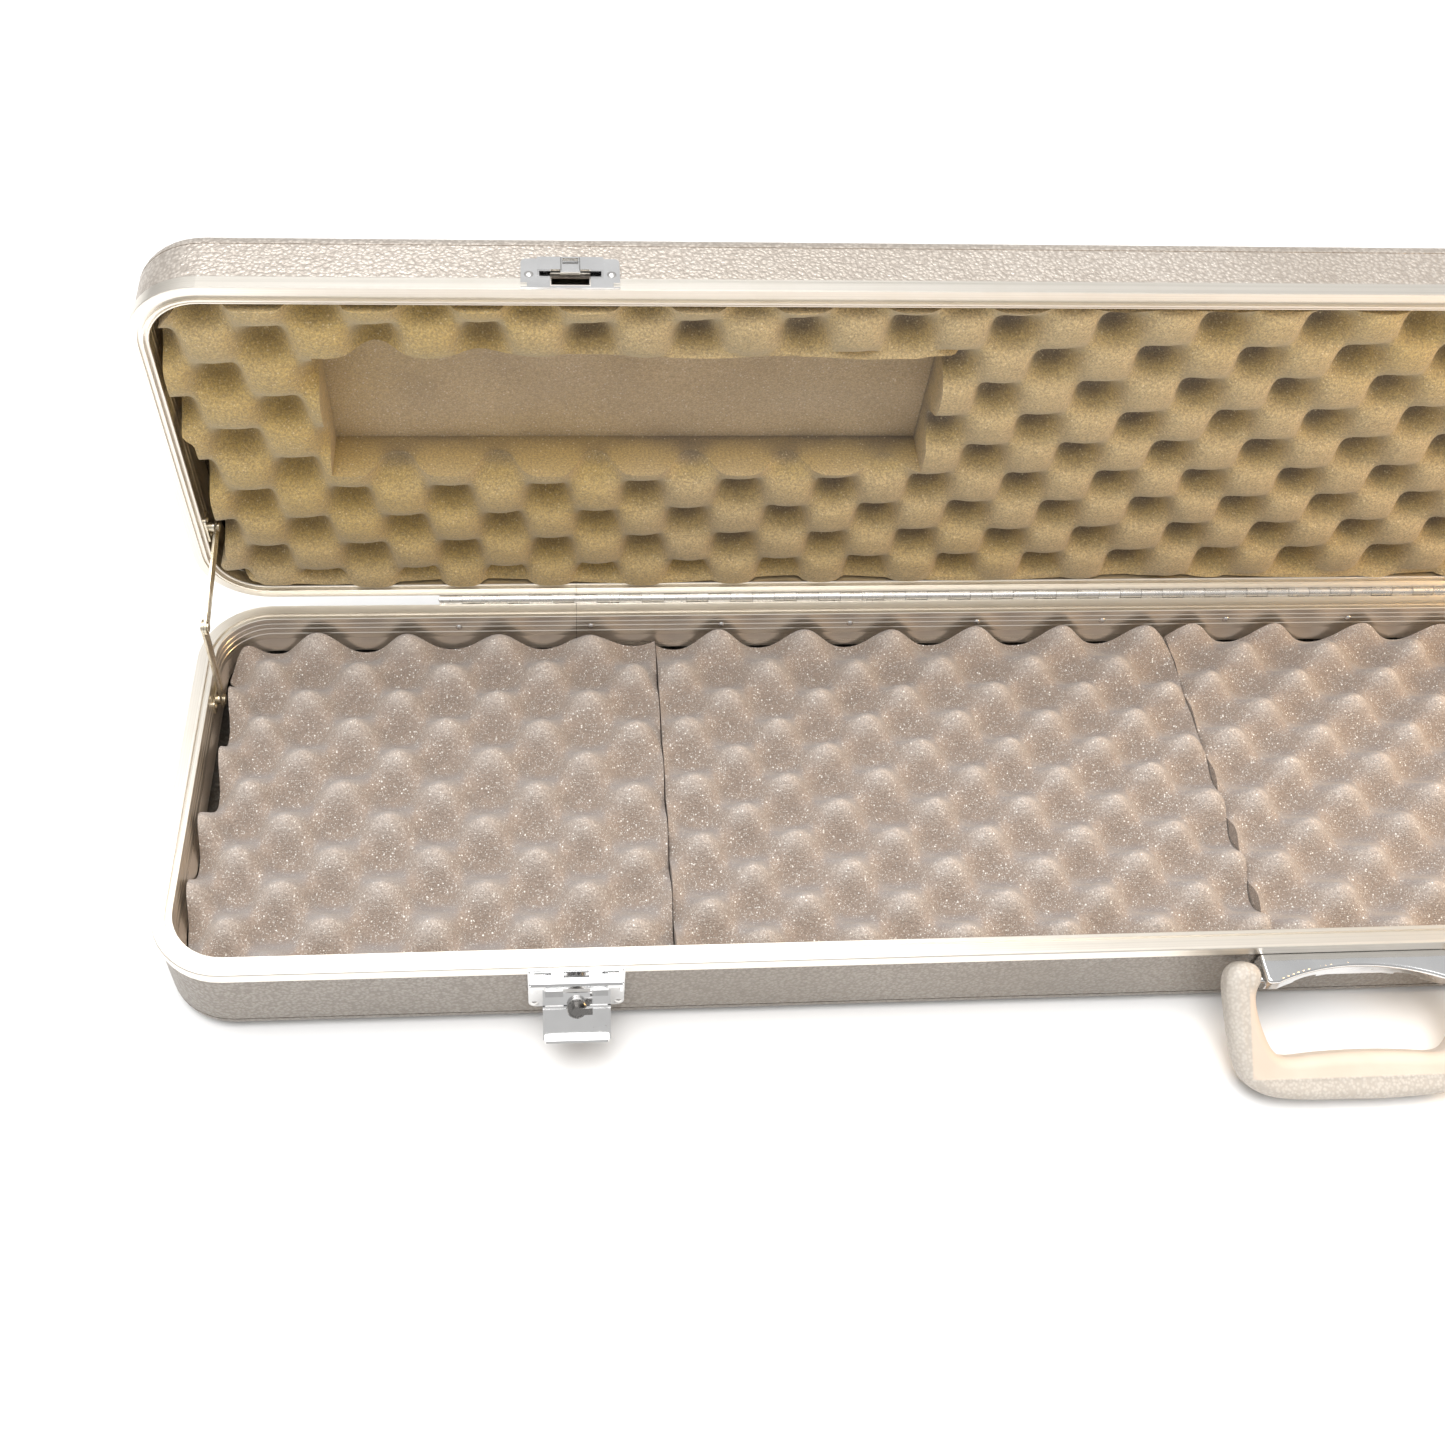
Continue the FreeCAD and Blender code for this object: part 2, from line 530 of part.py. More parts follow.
def make_lock_barrel():
    """Plug through the lever face, cam at its tail pointing sideways; made latched."""
    flange_y = -11.9
    cam_y0, cam_y1 = -2.2, -1.3
    body = y_cylinder(-10.9, -5.2, 0, BARREL_Z, 4.75)
    body = body.makeChamfer(0.5, circles(body))
    flange = y_cylinder(flange_y, -10.45, 0, BARREL_Z, 5.7)
    flange = flange.makeChamfer(
        0.6, [e for e in circles(flange) if near(e.Curve.Center.y, flange_y)])
    tail = y_cylinder(-5.4, cam_y1, 0, BARREL_Z, 2.2)
    cam = box(0, 7.4, cam_y0, cam_y1, BARREL_Z - 1.6, BARREL_Z + 1.6)
    barrel = body.fuse([flange, tail, cam]).removeSplitter()
    # key slot and shallow recess in the outer face, ring groove round the inner end
    barrel = barrel.cut(box(-0.6, 0.6, -12.5, -9.0, BARREL_Z - 2.4, BARREL_Z + 2.4))
    barrel = barrel.cut(y_cylinder(-12.5, -11.6, 0, BARREL_Z, 3.4))
    groove = y_cylinder(-5.7, -5.0, 0, BARREL_Z, 3.9).cut(
        y_cylinder(-6.0, -4.0, 0, BARREL_Z, 3.1))
    return swing_down(only_solid(barrel.cut(groove)))


def make_keeper():
    half_w = 22.4
    plate = box(-half_w, half_w, PLATE_OUT, PLATE_IN, RIM_GAP + 0.1, 19.4)
    upper_corners = edges_where(plate, lambda b: near(b.YLength, PLATE_T) and b.ZMin > 19)
    plate = plate.makeFillet(2.5, upper_corners)
    # raised hood, open at the bottom, with a centre tab proud of it
    hood = x_prism(KEEPER_HOOD_OUTER, -15.0, 15.0)
    hollow = x_prism(KEEPER_HOOD_INNER, -14.0, 14.0)
    tab = box(-4.5, 4.5, -4.8, -2.4, 7.0, 16.8)
    tab = tab.makeChamfer(0.6, edges_where(tab, lambda b: b.YMax < -4.7))
    body = plate.cut(box(-9.1, 9.1, -3, 1, 1.4, 10.2))
    body = body.fuse([hood]).cut(hollow).fuse(tab)
    # window in the tab, nicks in the plate ends, rivet holes
    body = body.cut(box(-3.6, 3.6, -6, -1.5, 11.6, 15.6))
    body = body.cut(group([box(-22.5, -19.4, -3, 1, 0.9, 3.6), box(19.4, 22.5, -3, 1, 0.9, 3.6)]))
    body = body.cut(group([y_cylinder(-3, 1, x, KEEPER_RIVET_Z, RIVET_HOLE_R)
                           for x in (-KEEPER_RIVET_X, KEEPER_RIVET_X)]))
    return only_solid(body.removeSplitter())


def make_plate_rivet(x, z):
    """Domed head on the plate, shank through the shell, flat tail inside."""
    shank = y_cylinder(-1.2, SKIN_INNER + 0.1, x, z, 1.25)
    head = dome(Vector(x, -1.07, z), -Y_AXIS, 2.1, 1.0)
    tail = Part.makeCylinder(2.0, 0.6, Vector(x, SKIN_INNER + FIT_GAP, z), Y_AXIS)
    return only_solid(shank.fuse([head, tail]).removeSplitter())


# ---------------------------------------------------------------- handle
BRACKET_CHEEK_PROFILE = [     # (y, z)
    (-0.05, -9.5), (-12.4, -9.5), (-14.4, -12.0), (-14.4, -15.0), (-12.6, -18.2),
    (-8.0, -19.4), (-0.05, -22.0)]
# Left half of the grip outline as (x, reach from the pivot line); the outer edge runs
# from the middle round the end, then the inner edge runs back to the middle.
GRIP_HALF = [
    (0, 58.6), (-20, 58.3), (-36, 57.6), (-46, 56.2), (-54, 53.0), (-60, 47.6),
    (-63.4, 40.5), (-65.0, 32), (-66.3, 20), (-67.2, 9), (-67.2, 0.5), (-65.4, -5),
    (-61.2, -8.2), (-56.6, -8.8), (-52.6, -7.9), (-50.0, -5.2), (-49.3, -1.6), (-50.2, 1.6),
    (-51.8, 4.6), (-52.6, 8.6), (-52.1, 14.5), (-50.4, 21.5), (-48.0, 28.3), (-45.6, 32.8),
    (-42.4, 36.0), (-37.4, 37.2), (-28, 36.7), (-14, 35.9), (0, 35.6)]


def bracket_plan(inset, z, back_y):
    """Plan of the bracket: rounded front corners and a scooped front edge."""
    side = BRACKET_X - inset
    front_y, scoop_y = -15.0 + inset, -7.0 + inset
    radius, scoop_x = 2.5, 42.0
    bulge = radius * (1 - math.sqrt(0.5))

    def point(x, y):
        return Vector(x, y, z)

    left_back, left_side = point(-side, back_y), point(-side, front_y + radius)
    left_front, scoop_left = point(-side + radius, front_y), point(-scoop_x, front_y)
    scoop_right, right_front = point(scoop_x, front_y), point(side - radius, front_y)
    right_side, right_back = point(side, front_y + radius), point(side, back_y)
    return Part.Face(Part.Wire([
        Part.makeLine(left_back, left_side),
        Part.Arc(left_side, point(-side + bulge, front_y + bulge), left_front).toShape(),
        Part.makeLine(left_front, scoop_left),
        Part.Arc(scoop_left, point(0, scoop_y), scoop_right).toShape(),
        Part.makeLine(scoop_right, right_front),
        Part.Arc(right_front, point(side - bulge, front_y + bulge), right_side).toShape(),
        Part.makeLine(right_side, right_back),
        Part.makeLine(right_back, left_back)]))


def make_handle_plate():
    """Shelf under the rim with a scooped front lip; end cheeks carry the pivots."""
    lip_z, cavity_z, wall = -14.2, -16.0, 1.4
    shelf = bracket_plan(0, lip_z, -FIT_GAP).extrude(Vector(0, 0, SHELF_Z - lip_z))
    top = edges_where(shelf, lambda b: b.ZMin > SHELF_Z - 0.01 and b.YMin < -1.0)
    shelf = shelf.makeFillet(1.8, top)
    cavity = bracket_plan(wall, cavity_z, 2.0).extrude(Vector(0, 0, SHELF_Z - wall - cavity_z))
    top = edges_where(cavity, lambda b: b.ZMin > SHELF_Z - wall - 0.01 and b.YMax < 1.9)
    cavity = cavity.makeFillet(0.6, top)
    plate = shelf.cut(cavity)

    cheeks = [x_prism(BRACKET_CHEEK_PROFILE, x, x + CHEEK_T)
              for x in (-BRACKET_X, BRACKET_X - CHEEK_T)]
    flange = box(-BRACKET_X, BRACKET_X, -1.25, -FIT_GAP, -27.0, SHELF_Z - 1.0)
    corners = edges_where(flange, lambda b: b.ZMax < -26.9 and b.XLength < 0.01)
    flange = flange.makeFillet(3.0, corners)
    plate = plate.fuse(cheeks + [flange]).removeSplitter()
    plate = plate.cut(group([x_cylinder(-60, -20, *HANDLE_PIVOT, HANDLE_HOLE_R),
                             x_cylinder(20, 60, *HANDLE_PIVOT, HANDLE_HOLE_R)]))
    # room for the pin heads in the corners of the lip
    head_x = BRACKET_X - CHEEK_T
    plate = plate.cut(group([x_cylinder(-head_x, -45.0, *HANDLE_PIVOT, 2.9),
                             x_cylinder(45.0, head_x, *HANDLE_PIVOT, 2.9)]))
    plate = plate.cut(group([y_cylinder(-3, 1, x, SCREW_Z, SCREW_HOLE_R) for x in SCREW_X]))
    return only_solid(plate)


def make_handle_grip():
    """U-shaped moulding, made flat with its pivot at the origin, then dropped into place."""
    outline = GRIP_HALF + [(-x, reach) for x, reach in reversed(GRIP_HALF[1:-1])]
    curve = Part.BSplineCurve()
    curve.interpolate([Vector(x, -reach, -HANDLE_T / 2) for x, reach in outline],
                      PeriodicFlag=True)
    grip = Part.Face(Part.Wire([curve.toShape()])).extrude(Vector(0, 0, HANDLE_T))
    rims = edges_where(grip, lambda b: b.ZLength < 1e-6)
    for radius in (5.5, 5.0, 4.5, 4.0, 3.5, 3.0, 2.5, 2.0, 1.5):
        # a radius too large for the tight bends of the outline can fail; try the next
        try:
            rounded = grip.makeFillet(radius, rims)
        except Exception:
            continue
        if rounded.isValid() and len(rounded.Solids) == 1:
            grip = rounded.Solids[0]
            break
    grip = grip.cut(group([x_cylinder(-57.0, -40, 0, 0, HANDLE_HOLE_R),
                           x_cylinder(40, 57.0, 0, 0, HANDLE_HOLE_R)]))
    grip.rotate(ORIGIN, X_AXIS, HANDLE_DROP)
    grip.translate(Vector(0, *HANDLE_PIVOT))
    return only_solid(grip)


def make_handle_pin():
    """Right-hand pin, head inside the bracket cheek."""
    pin = x_cylinder(PIN_INNER_X, 56.5, *HANDLE_PIVOT, HANDLE_PIN_R)
    head = x_cylinder(PIN_INNER_X, BRACKET_X - CHEEK_T - FIT_GAP, *HANDLE_PIVOT, 2.8)
    return only_solid(pin.fuse(head).removeSplitter())


def make_handle_screw(x):
    """Head inside the shell, nut on the front of the bracket flange."""
    shank = y_cylinder(-3.4, SKIN_INNER + 0.2, x, SCREW_Z, SCREW_R)
    head = Part.makeCylinder(3.2, 1.6, Vector(x, SKIN_INNER + 0.03, SCREW_Z), Y_AXIS)
    nut = Part.makeCylinder(2.9, 2.0, Vector(x, -3.3, SCREW_Z), Y_AXIS)
    return only_solid(shank.fuse([head, nut]).removeSplitter())


# ---------------------------------------------------------------- foam
def make_pad(x0, x1, y0, y1, z0, z1, left_r, right_r):
    """Block with its vertical corners rounded at either end; radius 0 leaves an end square."""
    pad = box(x0, x1, y0, y1, z0, z1)
    if left_r > 0:
        pad = pad.makeFillet(
            left_r, edges_where(pad, lambda b: b.ZLength > 5 and near(b.XMin, x0)))
    if right_r > 0:
        pad = pad.makeFillet(
            right_r, edges_where(pad, lambda b: b.ZLength > 5 and near(b.XMax, x1)
                                 and b.XLength < 1e-6))
    return pad


def stay_notches(y1, z0, z1):
    """Left and right cutters for the folded stays."""
    return [box(-HALF_L, -HALF_L + ARM_SIDE, NOTCH_Y0, y1, z0, z1),
            box(HALF_L - ARM_SIDE, HALF_L, NOTCH_Y0, y1, z0, z1)]


def make_base_pads():
    left_notch, right_notch = stay_notches(187.0, -20.0, 5.0)
    bounds = [-HALF_L + FOAM_SIDE, *PAD_SEAMS, HALF_L - FOAM_SIDE]
    last = len(bounds) - 2
    pads = []
    for i in range(last + 1):
        x0 = bounds[i] + (PAD_GAP / 2 if i > 0 else 0)
        x1 = bounds[i + 1] - (PAD_GAP / 2 if i < last else 0)
        pad = make_pad(x0, x1, FOAM_FRONT_Y, PAD_BACK_Y, -BASE_H + SKIN_T + FOAM_GAP, PAD_TOP,
                       FOAM_END_R if i == 0 else 0, FOAM_END_R if i == last else 0)
        if i == 0:
            pad = pad.cut(left_notch)
        if i == last:
            pad = pad.cut(right_notch)
        pads.append(only_solid(pad))
    return pads


def make_lid_foam():
    """Front sheet with a rectangular window."""
    foam = make_pad(-HALF_L + FOAM_SIDE, HALF_L - FOAM_SIDE, FOAM_FRONT_Y, LID_FOAM_BACK_Y,
                    LID_FOAM_FRONT, LID_FOAM_SPLIT, FOAM_END_R, FOAM_END_R)
    foam = foam.cut(group(stay_notches(190.0, -10.0, 11.0)))
    # strip standing out towards the frame along the hinge side
    foam = foam.fuse(box(-HALF_L + 48, HALF_L - 48, LID_FOAM_BACK_Y - 2, LID_FOAM_BACK_Y + 2.3,
                         LID_FOAM_FRONT, 13.5)).removeSplitter()
    return only_solid(foam.cut(box(*WINDOW_X, *WINDOW_Y, -10, 40)))


def make_lid_backer():
    """Plain sheet behind the lid foam, trimmed to stay clear of the shell walls."""
    backer = make_pad(-HALF_L + ARM_SIDE, HALF_L - ARM_SIDE, FOAM_FRONT_Y, LID_FOAM_BACK_Y,
                      LID_FOAM_SPLIT + FOAM_GAP, LID_H - SKIN_T - FOAM_GAP, 18.0, 18.0)
    inside = case_outline(SKIN_INNER + 8.0, 20.0, 20.0).extrude(Vector(0, 0, 25))
    return only_solid(backer.common(inside))


# ---------------------------------------------------------------- export
export("base_shell", make_base_shell())
export("base_frame", make_base_frame())
export("lid_shell", make_lid_shell(), lid=True)
export("lid_frame", make_lid_frame(), lid=True)

export("hinge_base_leaf", make_leaf(-1, BASE_RIVET_Z))
export("hinge_lid_leaf", make_leaf(1, LID_RIVET_Z), lid=True)
export("hinge_pin", make_hinge_pin())
export("hinge_rivets_base", group([make_hinge_rivet(x, BASE_RIVET_Z) for x in RIVET_X]))
export("hinge_rivets_lid", group([make_hinge_rivet(x, LID_RIVET_Z) for x in RIVET_X]), lid=True)

# (name, left-hand shape, moves with the lid)
STAY_PARTS = [
    ("stay_base_stud", make_stud(BASE_PIVOT, LOWER_ARM, 15.4, 2.4), False),
    ("stay_lower_arm", make_arm(BASE_PIVOT, ELBOW, LOWER_ARM), False),
    ("stay_elbow_rivet", make_elbow_rivet(), False),
    ("stay_upper_arm", make_arm(LID_PIVOT_OPEN, ELBOW, UPPER_ARM), False),
    ("stay_lid_stud", make_stud(LID_PIVOT_CLOSED, UPPER_ARM, 16.75, 4.2), True)]
for name, shape, on_lid in STAY_PARTS:
    export(name + "_l", shape, lid=on_lid)
    export(name + "_r", mirror_x(shape), lid=on_lid)

# (name, shape about x = 0, moves with the lid)
LATCH_PARTS = [
    ("latch_body", make_latch_body(), False),
    ("latch_pin", make_latch_pin(), False),
    ("latch_lever", make_latch_lever(), False),
    ("lock_barrel", make_lock_barrel(), False),
    ("keeper", make_keeper(), True)]
for name, shape, on_lid in LATCH_PARTS:
    for side, center_x in zip("lr", LATCH_CENTRES):
        moved = shape.copy()
        moved.translate(Vector(center_x, 0, 0))
        export(name + "_" + side, moved, lid=on_lid)
export("latch_rivets", group([make_plate_rivet(x, LATCH_RIVET_Z)
                              for x in at_latches(LATCH_RIVET_X)]))
export("keeper_rivets", group([make_plate_rivet(x, KEEPER_RIVET_Z)
                               for x in at_latches(KEEPER_RIVET_X)]), lid=True)

export("handle_plate", make_handle_plate())
export("handle_grip", make_handle_grip())
handle_pin = make_handle_pin()
export("handle_pins", group([mirror_x(handle_pin), handle_pin]))
export("handle_screws", group([make_handle_screw(x) for x in SCREW_X]))

for number, base_pad in enumerate(make_base_pads(), start=1):
    export("base_foam_%d" % number, base_pad)
export("lid_foam", make_lid_foam(), lid=True)
export("lid_foam_backer", make_lid_backer(), lid=True)
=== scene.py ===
"""Long hinged case standing open, with egg-crate foam in the base and the lid.

The length runs along X and the hinge along the +Y side; the case opens upwards, +Z.
The lid foam is shaped as if the lid were shut, crests down, then turned to where the lid
stands. "Left" is -X, "front" is -Y and "back" is +Y, the hinge side.
"""
import json
import math

import bmesh
import bpy
import numpy as np
from mathutils import Matrix, Vector


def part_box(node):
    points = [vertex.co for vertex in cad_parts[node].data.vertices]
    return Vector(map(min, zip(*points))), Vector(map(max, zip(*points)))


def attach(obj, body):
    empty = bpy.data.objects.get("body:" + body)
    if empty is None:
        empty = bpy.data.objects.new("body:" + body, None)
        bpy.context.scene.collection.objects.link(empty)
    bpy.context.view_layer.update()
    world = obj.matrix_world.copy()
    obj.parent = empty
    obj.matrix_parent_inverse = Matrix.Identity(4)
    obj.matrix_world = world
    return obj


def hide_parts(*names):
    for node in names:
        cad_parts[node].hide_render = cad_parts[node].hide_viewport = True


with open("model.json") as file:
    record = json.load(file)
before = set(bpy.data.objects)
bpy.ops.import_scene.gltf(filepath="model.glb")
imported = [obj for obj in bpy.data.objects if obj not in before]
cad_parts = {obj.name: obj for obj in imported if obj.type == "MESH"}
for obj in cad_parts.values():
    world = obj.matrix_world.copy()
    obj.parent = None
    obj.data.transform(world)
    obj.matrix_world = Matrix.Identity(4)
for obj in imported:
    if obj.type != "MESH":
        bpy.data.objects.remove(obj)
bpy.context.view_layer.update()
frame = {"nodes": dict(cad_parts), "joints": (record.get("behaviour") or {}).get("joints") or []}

NODES = frame["nodes"]
JOINT = {joint["name"]: joint for joint in frame["joints"]}
MM = 0.001

HINGE = Vector(JOINT["lid_hinge"]["pos_m"])
OPEN_ANGLE = math.radians(JOINT["lid_hinge"]["range_deg"][1])

# outline of the case, from the base frame; its top is the rim plane
FRAME_LOW, FRAME_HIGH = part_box("base_frame")
X_LEFT, X_RIGHT = FRAME_LOW.x, FRAME_HIGH.x
Y_FRONT, Y_BACK = FRAME_LOW.y, FRAME_HIGH.y
Z_RIM = FRAME_HIGH.z


def add_object(name, data):
    obj = bpy.data.objects.new(name, data)
    bpy.context.scene.collection.objects.link(obj)
    return obj


# ---------------------------------------------------------------- mesh points
def read_points(mesh):
    points = np.zeros(len(mesh.vertices) * 3)
    mesh.vertices.foreach_get("co", points)
    return points.reshape(-1, 3)


def write_points(mesh, points):
    mesh.vertices.foreach_set("co", points.ravel())
    mesh.update()


def turn_lid(points, angle):
    """Turn points about the hinge line; OPEN_ANGLE takes a shut lid to where it stands."""
    turned = points.copy()
    y, z = points[:, 1] - HINGE.y, points[:, 2] - HINGE.z
    cos, sin = math.cos(angle), math.sin(angle)
    turned[:, 1] = HINGE.y + y * cos + z * sin
    turned[:, 2] = HINGE.z - y * sin + z * cos
    return turned


def shut_points(name):
    """Vertices of a lid piece as they lie when the lid is shut."""
    return turn_lid(read_points(NODES[name].data), -OPEN_ANGLE)


# ---------------------------------------------------------------- egg-crate foam
CORNER_RADIUS = 24 * MM        # plan corners of the pads and the lid sheet
NOTCH_DEPTH = 4.9 * MM         # how far the end walls stand back beside the lid stays
NOTCH_FRONT = Y_FRONT + 103.5 * MM
NOTCH_FADE = 24 * MM           # the setback dies out this far in from the end


def fade(distance, width):
    """0 up to zero distance, rising to 1 at the given width."""
    return np.clip(distance / width, 0, 1)


def smooth(t):
    return t * t * (3 - 2 * t)


def wobble(x, y, seed, size, height):
    """Smooth repeatable unevenness: nine sine waves of about the given size."""
    random = np.random.RandomState(seed)
    total = np.zeros_like(x)
    for _ in range(9):
        heading = random.uniform(0, 2 * np.pi)
        wave = 2 * np.pi / (size * random.uniform(0.6, 1.8))
        total += np.sin(wave * (np.cos(heading) * x + np.sin(heading) * y)
                        + random.uniform(0, 2 * np.pi))
    return total * (height / 3.0)


def crate_wave(x, y, peak, pitch, turn, shear, seed):
    """-1..1 wave with peaks staggered by half a pitch every other row."""
    dx, dy = x - peak[0], y - peak[1]
    dx = dx + shear * dy + wobble(x, y, seed, size=90 * MM, height=1.1 * MM)
    dy = dy + wobble(x, y, seed + 1, size=90 * MM, height=0.9 * MM)
    cos, sin = math.cos(turn), math.sin(turn)
    along, across = cos * dx + sin * dy, -sin * dx + cos * dy
    return np.cos(2 * np.pi * along / pitch[0]) * np.cos(2 * np.pi * across / pitch[1])


def cell_steps(marks, step):
    """Grid stations about one step apart that land exactly on every mark."""
    stations = [marks[0]]
    for start, end in zip(marks[:-1], marks[1:]):
        count = max(1, int(round((end - start) / step)))
        stations += list(np.linspace(start, end, count + 1))[1:]
    return stations


def round_corners(grid_x, grid_y, x_span, y_span, radius, ends):
    """Bend the square grid corners into arcs, at the left and right ends that ask for it."""
    new_x, new_y = grid_x.copy(), grid_y.copy()
    for x_sign, x_edge, wanted in zip((-1, 1), x_span, ends):
        if not wanted:
            continue
        for y_sign, y_edge in zip((-1, 1), y_span):
            centre_x = x_edge - x_sign * radius
            centre_y = y_edge - y_sign * radius
            a = x_sign * (grid_x - centre_x) / radius
            b = y_sign * (grid_y - centre_y) / radius
            corner = (a > 0) & (b > 0)
            a, b = a[corner], b[corner]
            new_x[corner] = centre_x + x_sign * a * np.sqrt(1 - b * b / 2) * radius
            new_y[corner] = centre_y + y_sign * b * np.sqrt(1 - a * a / 2) * radius
    return new_x, new_y


def set_back_ends(grid_x, grid_y, x_span, notch, ends):
    """Stand the end walls back over the notch, where the lid stays fold down."""
    reach, ramp = 8 * MM, 7 * MM
    depth = NOTCH_DEPTH * smooth(fade(
        np.minimum(grid_y - (notch[0] - reach), (notch[1] + reach) - grid_y), ramp))
    for x_sign, x_edge, wanted in zip((-1, 1), x_span, ends):
        if wanted:
            inwards = x_sign * (x_edge - grid_x)
            grid_x = grid_x - x_sign * depth * (1 - fade(inwards, NOTCH_FADE))
    return grid_x


def foam_block(name, xs, ys, cut_face, flat_z, seed, radius=CORNER_RADIUS, ends=(True, True),
               notch=None, hole=None, crests_up=True, wall_rows=5, ragged=0.35 * MM):
    """Closed foam block on a grid.

    cut_face(x, y) gives the height of the moulded face and its crest value, 0..1.
    notch is (front, back); hole is (left, right, front, back). Walls of a block
    without a hole are uneven by up to `ragged`.
    """
    x_span, y_span = (xs[0], xs[-1]), (ys[0], ys[-1])
    grid_x, grid_y = np.meshgrid(np.array(xs), np.array(ys), indexing="ij")
    grid_x, grid_y = round_corners(grid_x, grid_y, x_span, y_span, radius, ends)
    if notch is not None:
        grid_x = set_back_ends(grid_x, grid_y, x_span, notch, ends)
    cut_z, crest = cut_face(grid_x, grid_y)

    # grid cells outside the hole, and the grid points they use
    nx, ny = len(xs), len(ys)
    keep = np.ones((nx - 1, ny - 1), bool)
    if hole is not None:
        left, right, front, back = hole
        mid_x = 0.5 * (np.array(xs)[1:] + np.array(xs)[:-1])
        mid_y = 0.5 * (np.array(ys)[1:] + np.array(ys)[:-1])
        in_x = (mid_x > left) & (mid_x < right)
        in_y = (mid_y > front) & (mid_y < back)
        keep &= ~(in_x[:, None] & in_y[None, :])
    used = np.zeros((nx, ny), bool)
    for di in (0, 1):
        for dj in (0, 1):
            used[di:nx - 1 + di, dj:ny - 1 + dj] |= keep
    count = int(used.sum())
    index = -np.ones((nx, ny), int)
    index[used] = np.arange(count)

    cut_points = np.stack([grid_x[used], grid_y[used], cut_z[used]], 1)
    flat_points = np.stack([grid_x[used], grid_y[used], np.full(count, flat_z)], 1)
    points = [cut_points, flat_points]
    crests = [crest[used], np.zeros(count)]
    i, j = np.nonzero(keep)
    cut_quads = np.stack([index[i, j], index[i + 1, j], index[i + 1, j + 1], index[i, j + 1]], 1)
    flat_quads = cut_quads[:, [0, 3, 2, 1]] + count
    if not crests_up:
        cut_quads, flat_quads = cut_quads[:, ::-1], flat_quads[:, ::-1]
    faces = [cut_quads, flat_quads]

    # edges that belong to one quad only are the rim of the cut face
    edges = np.concatenate([cut_quads[:, [k, (k + 1) % 4]] for k in range(4)])
    ordered = np.sort(edges, 1)
    key = ordered[:, 0].astype(np.int64) * (count + 1) + ordered[:, 1]
    _, inverse, uses = np.unique(key, return_inverse=True, return_counts=True)
    rim = edges[uses[inverse] == 1]
    ring = np.unique(rim)

    # rows of vertices down the walls; each row maps a rim vertex to its own vertex
    rows = [np.arange(count)]
    random = np.random.RandomState(seed)
    for r in range(1, wall_rows):
        t = r / wall_rows
        row = np.full(count, -1)
        row[ring] = 2 * count + (r - 1) * len(ring) + np.arange(len(ring))
        rows.append(row)
        wall = cut_points[ring].copy()
        wall[:, 2] = wall[:, 2] * (1 - t) + flat_z * t
        if hole is None:
            dent = random.uniform(0.0, ragged, len(ring))
            for axis, (low, high) in enumerate((x_span, y_span)):
                offset = wall[:, axis] - (low + high) / 2
                at_edge = np.abs(offset) > (high - low) / 2 - 22 * MM
                wall[:, axis] += -np.sign(offset) * dent * at_edge
        points.append(wall)
        # the cut walls get a falling crest value towards the bottom, so they are painted darker
        # lower down: painted shade down the walls
        crests.append(crest[used][ring] * (1 - t) * 0.7 + 0.15)
    rows.append(np.arange(count) + count)
    start, end = rim[:, 0], rim[:, 1]
    for upper, lower in zip(rows[:-1], rows[1:]):
        faces.append(np.stack([upper[end], upper[start], lower[start], lower[end]], 1))

    mesh = bpy.data.meshes.new(name)
    mesh.from_pydata(np.concatenate(points).tolist(), [], np.concatenate(faces).tolist())
    mesh.polygons.foreach_set("use_smooth", np.ones(len(mesh.polygons), bool))
    attribute = mesh.attributes.new("crest", "FLOAT", "POINT")
    values = np.clip(np.concatenate(crests), 0, 1).astype(np.float32)
    attribute.data.foreach_set("value", values)
    mesh.update()
    return add_object(name, mesh)


def sharpen_cuts(obj):
    """Keep the knife-cut edges crisp and the moulded face smooth."""
    limit = math.radians(50.0)
    bm = bmesh.new()
    bm.from_mesh(obj.data)
    for edge in bm.edges:
        if len(edge.link_faces) == 2 and edge.calc_face_angle(0.0) > limit:
            edge.smooth = False
    bm.to_mesh(obj.data)
    bm.free()
    obj.data.update()


# ---------------------------------------------------------------- base pads
PAD_GRID = 1.9 * MM
PAD_RELIEF = 19.0 * MM
PAD_GAP = 0.1 * MM             # at each cut between pads
PAD_NOTCH = (NOTCH_FRONT, Y_FRONT + 187.5 * MM)
# one peak in mm from the left end and from the front; pitch in mm along X and Y;
# turn in radians; shear
PADS = [
    ((61.0, 212.5), (50.4, 40.0), -0.030, 0.0),
    ((286.5, 205.5), (49.9, 37.2), 0.006, 0.034),
    ((564.0, 216.5), (51.2, 40.0), 0.015, 0.0),
    ((876.0, 209.0), (50.6, 39.4), -0.010, 0.010),
]
DRAWN_PAD = 1


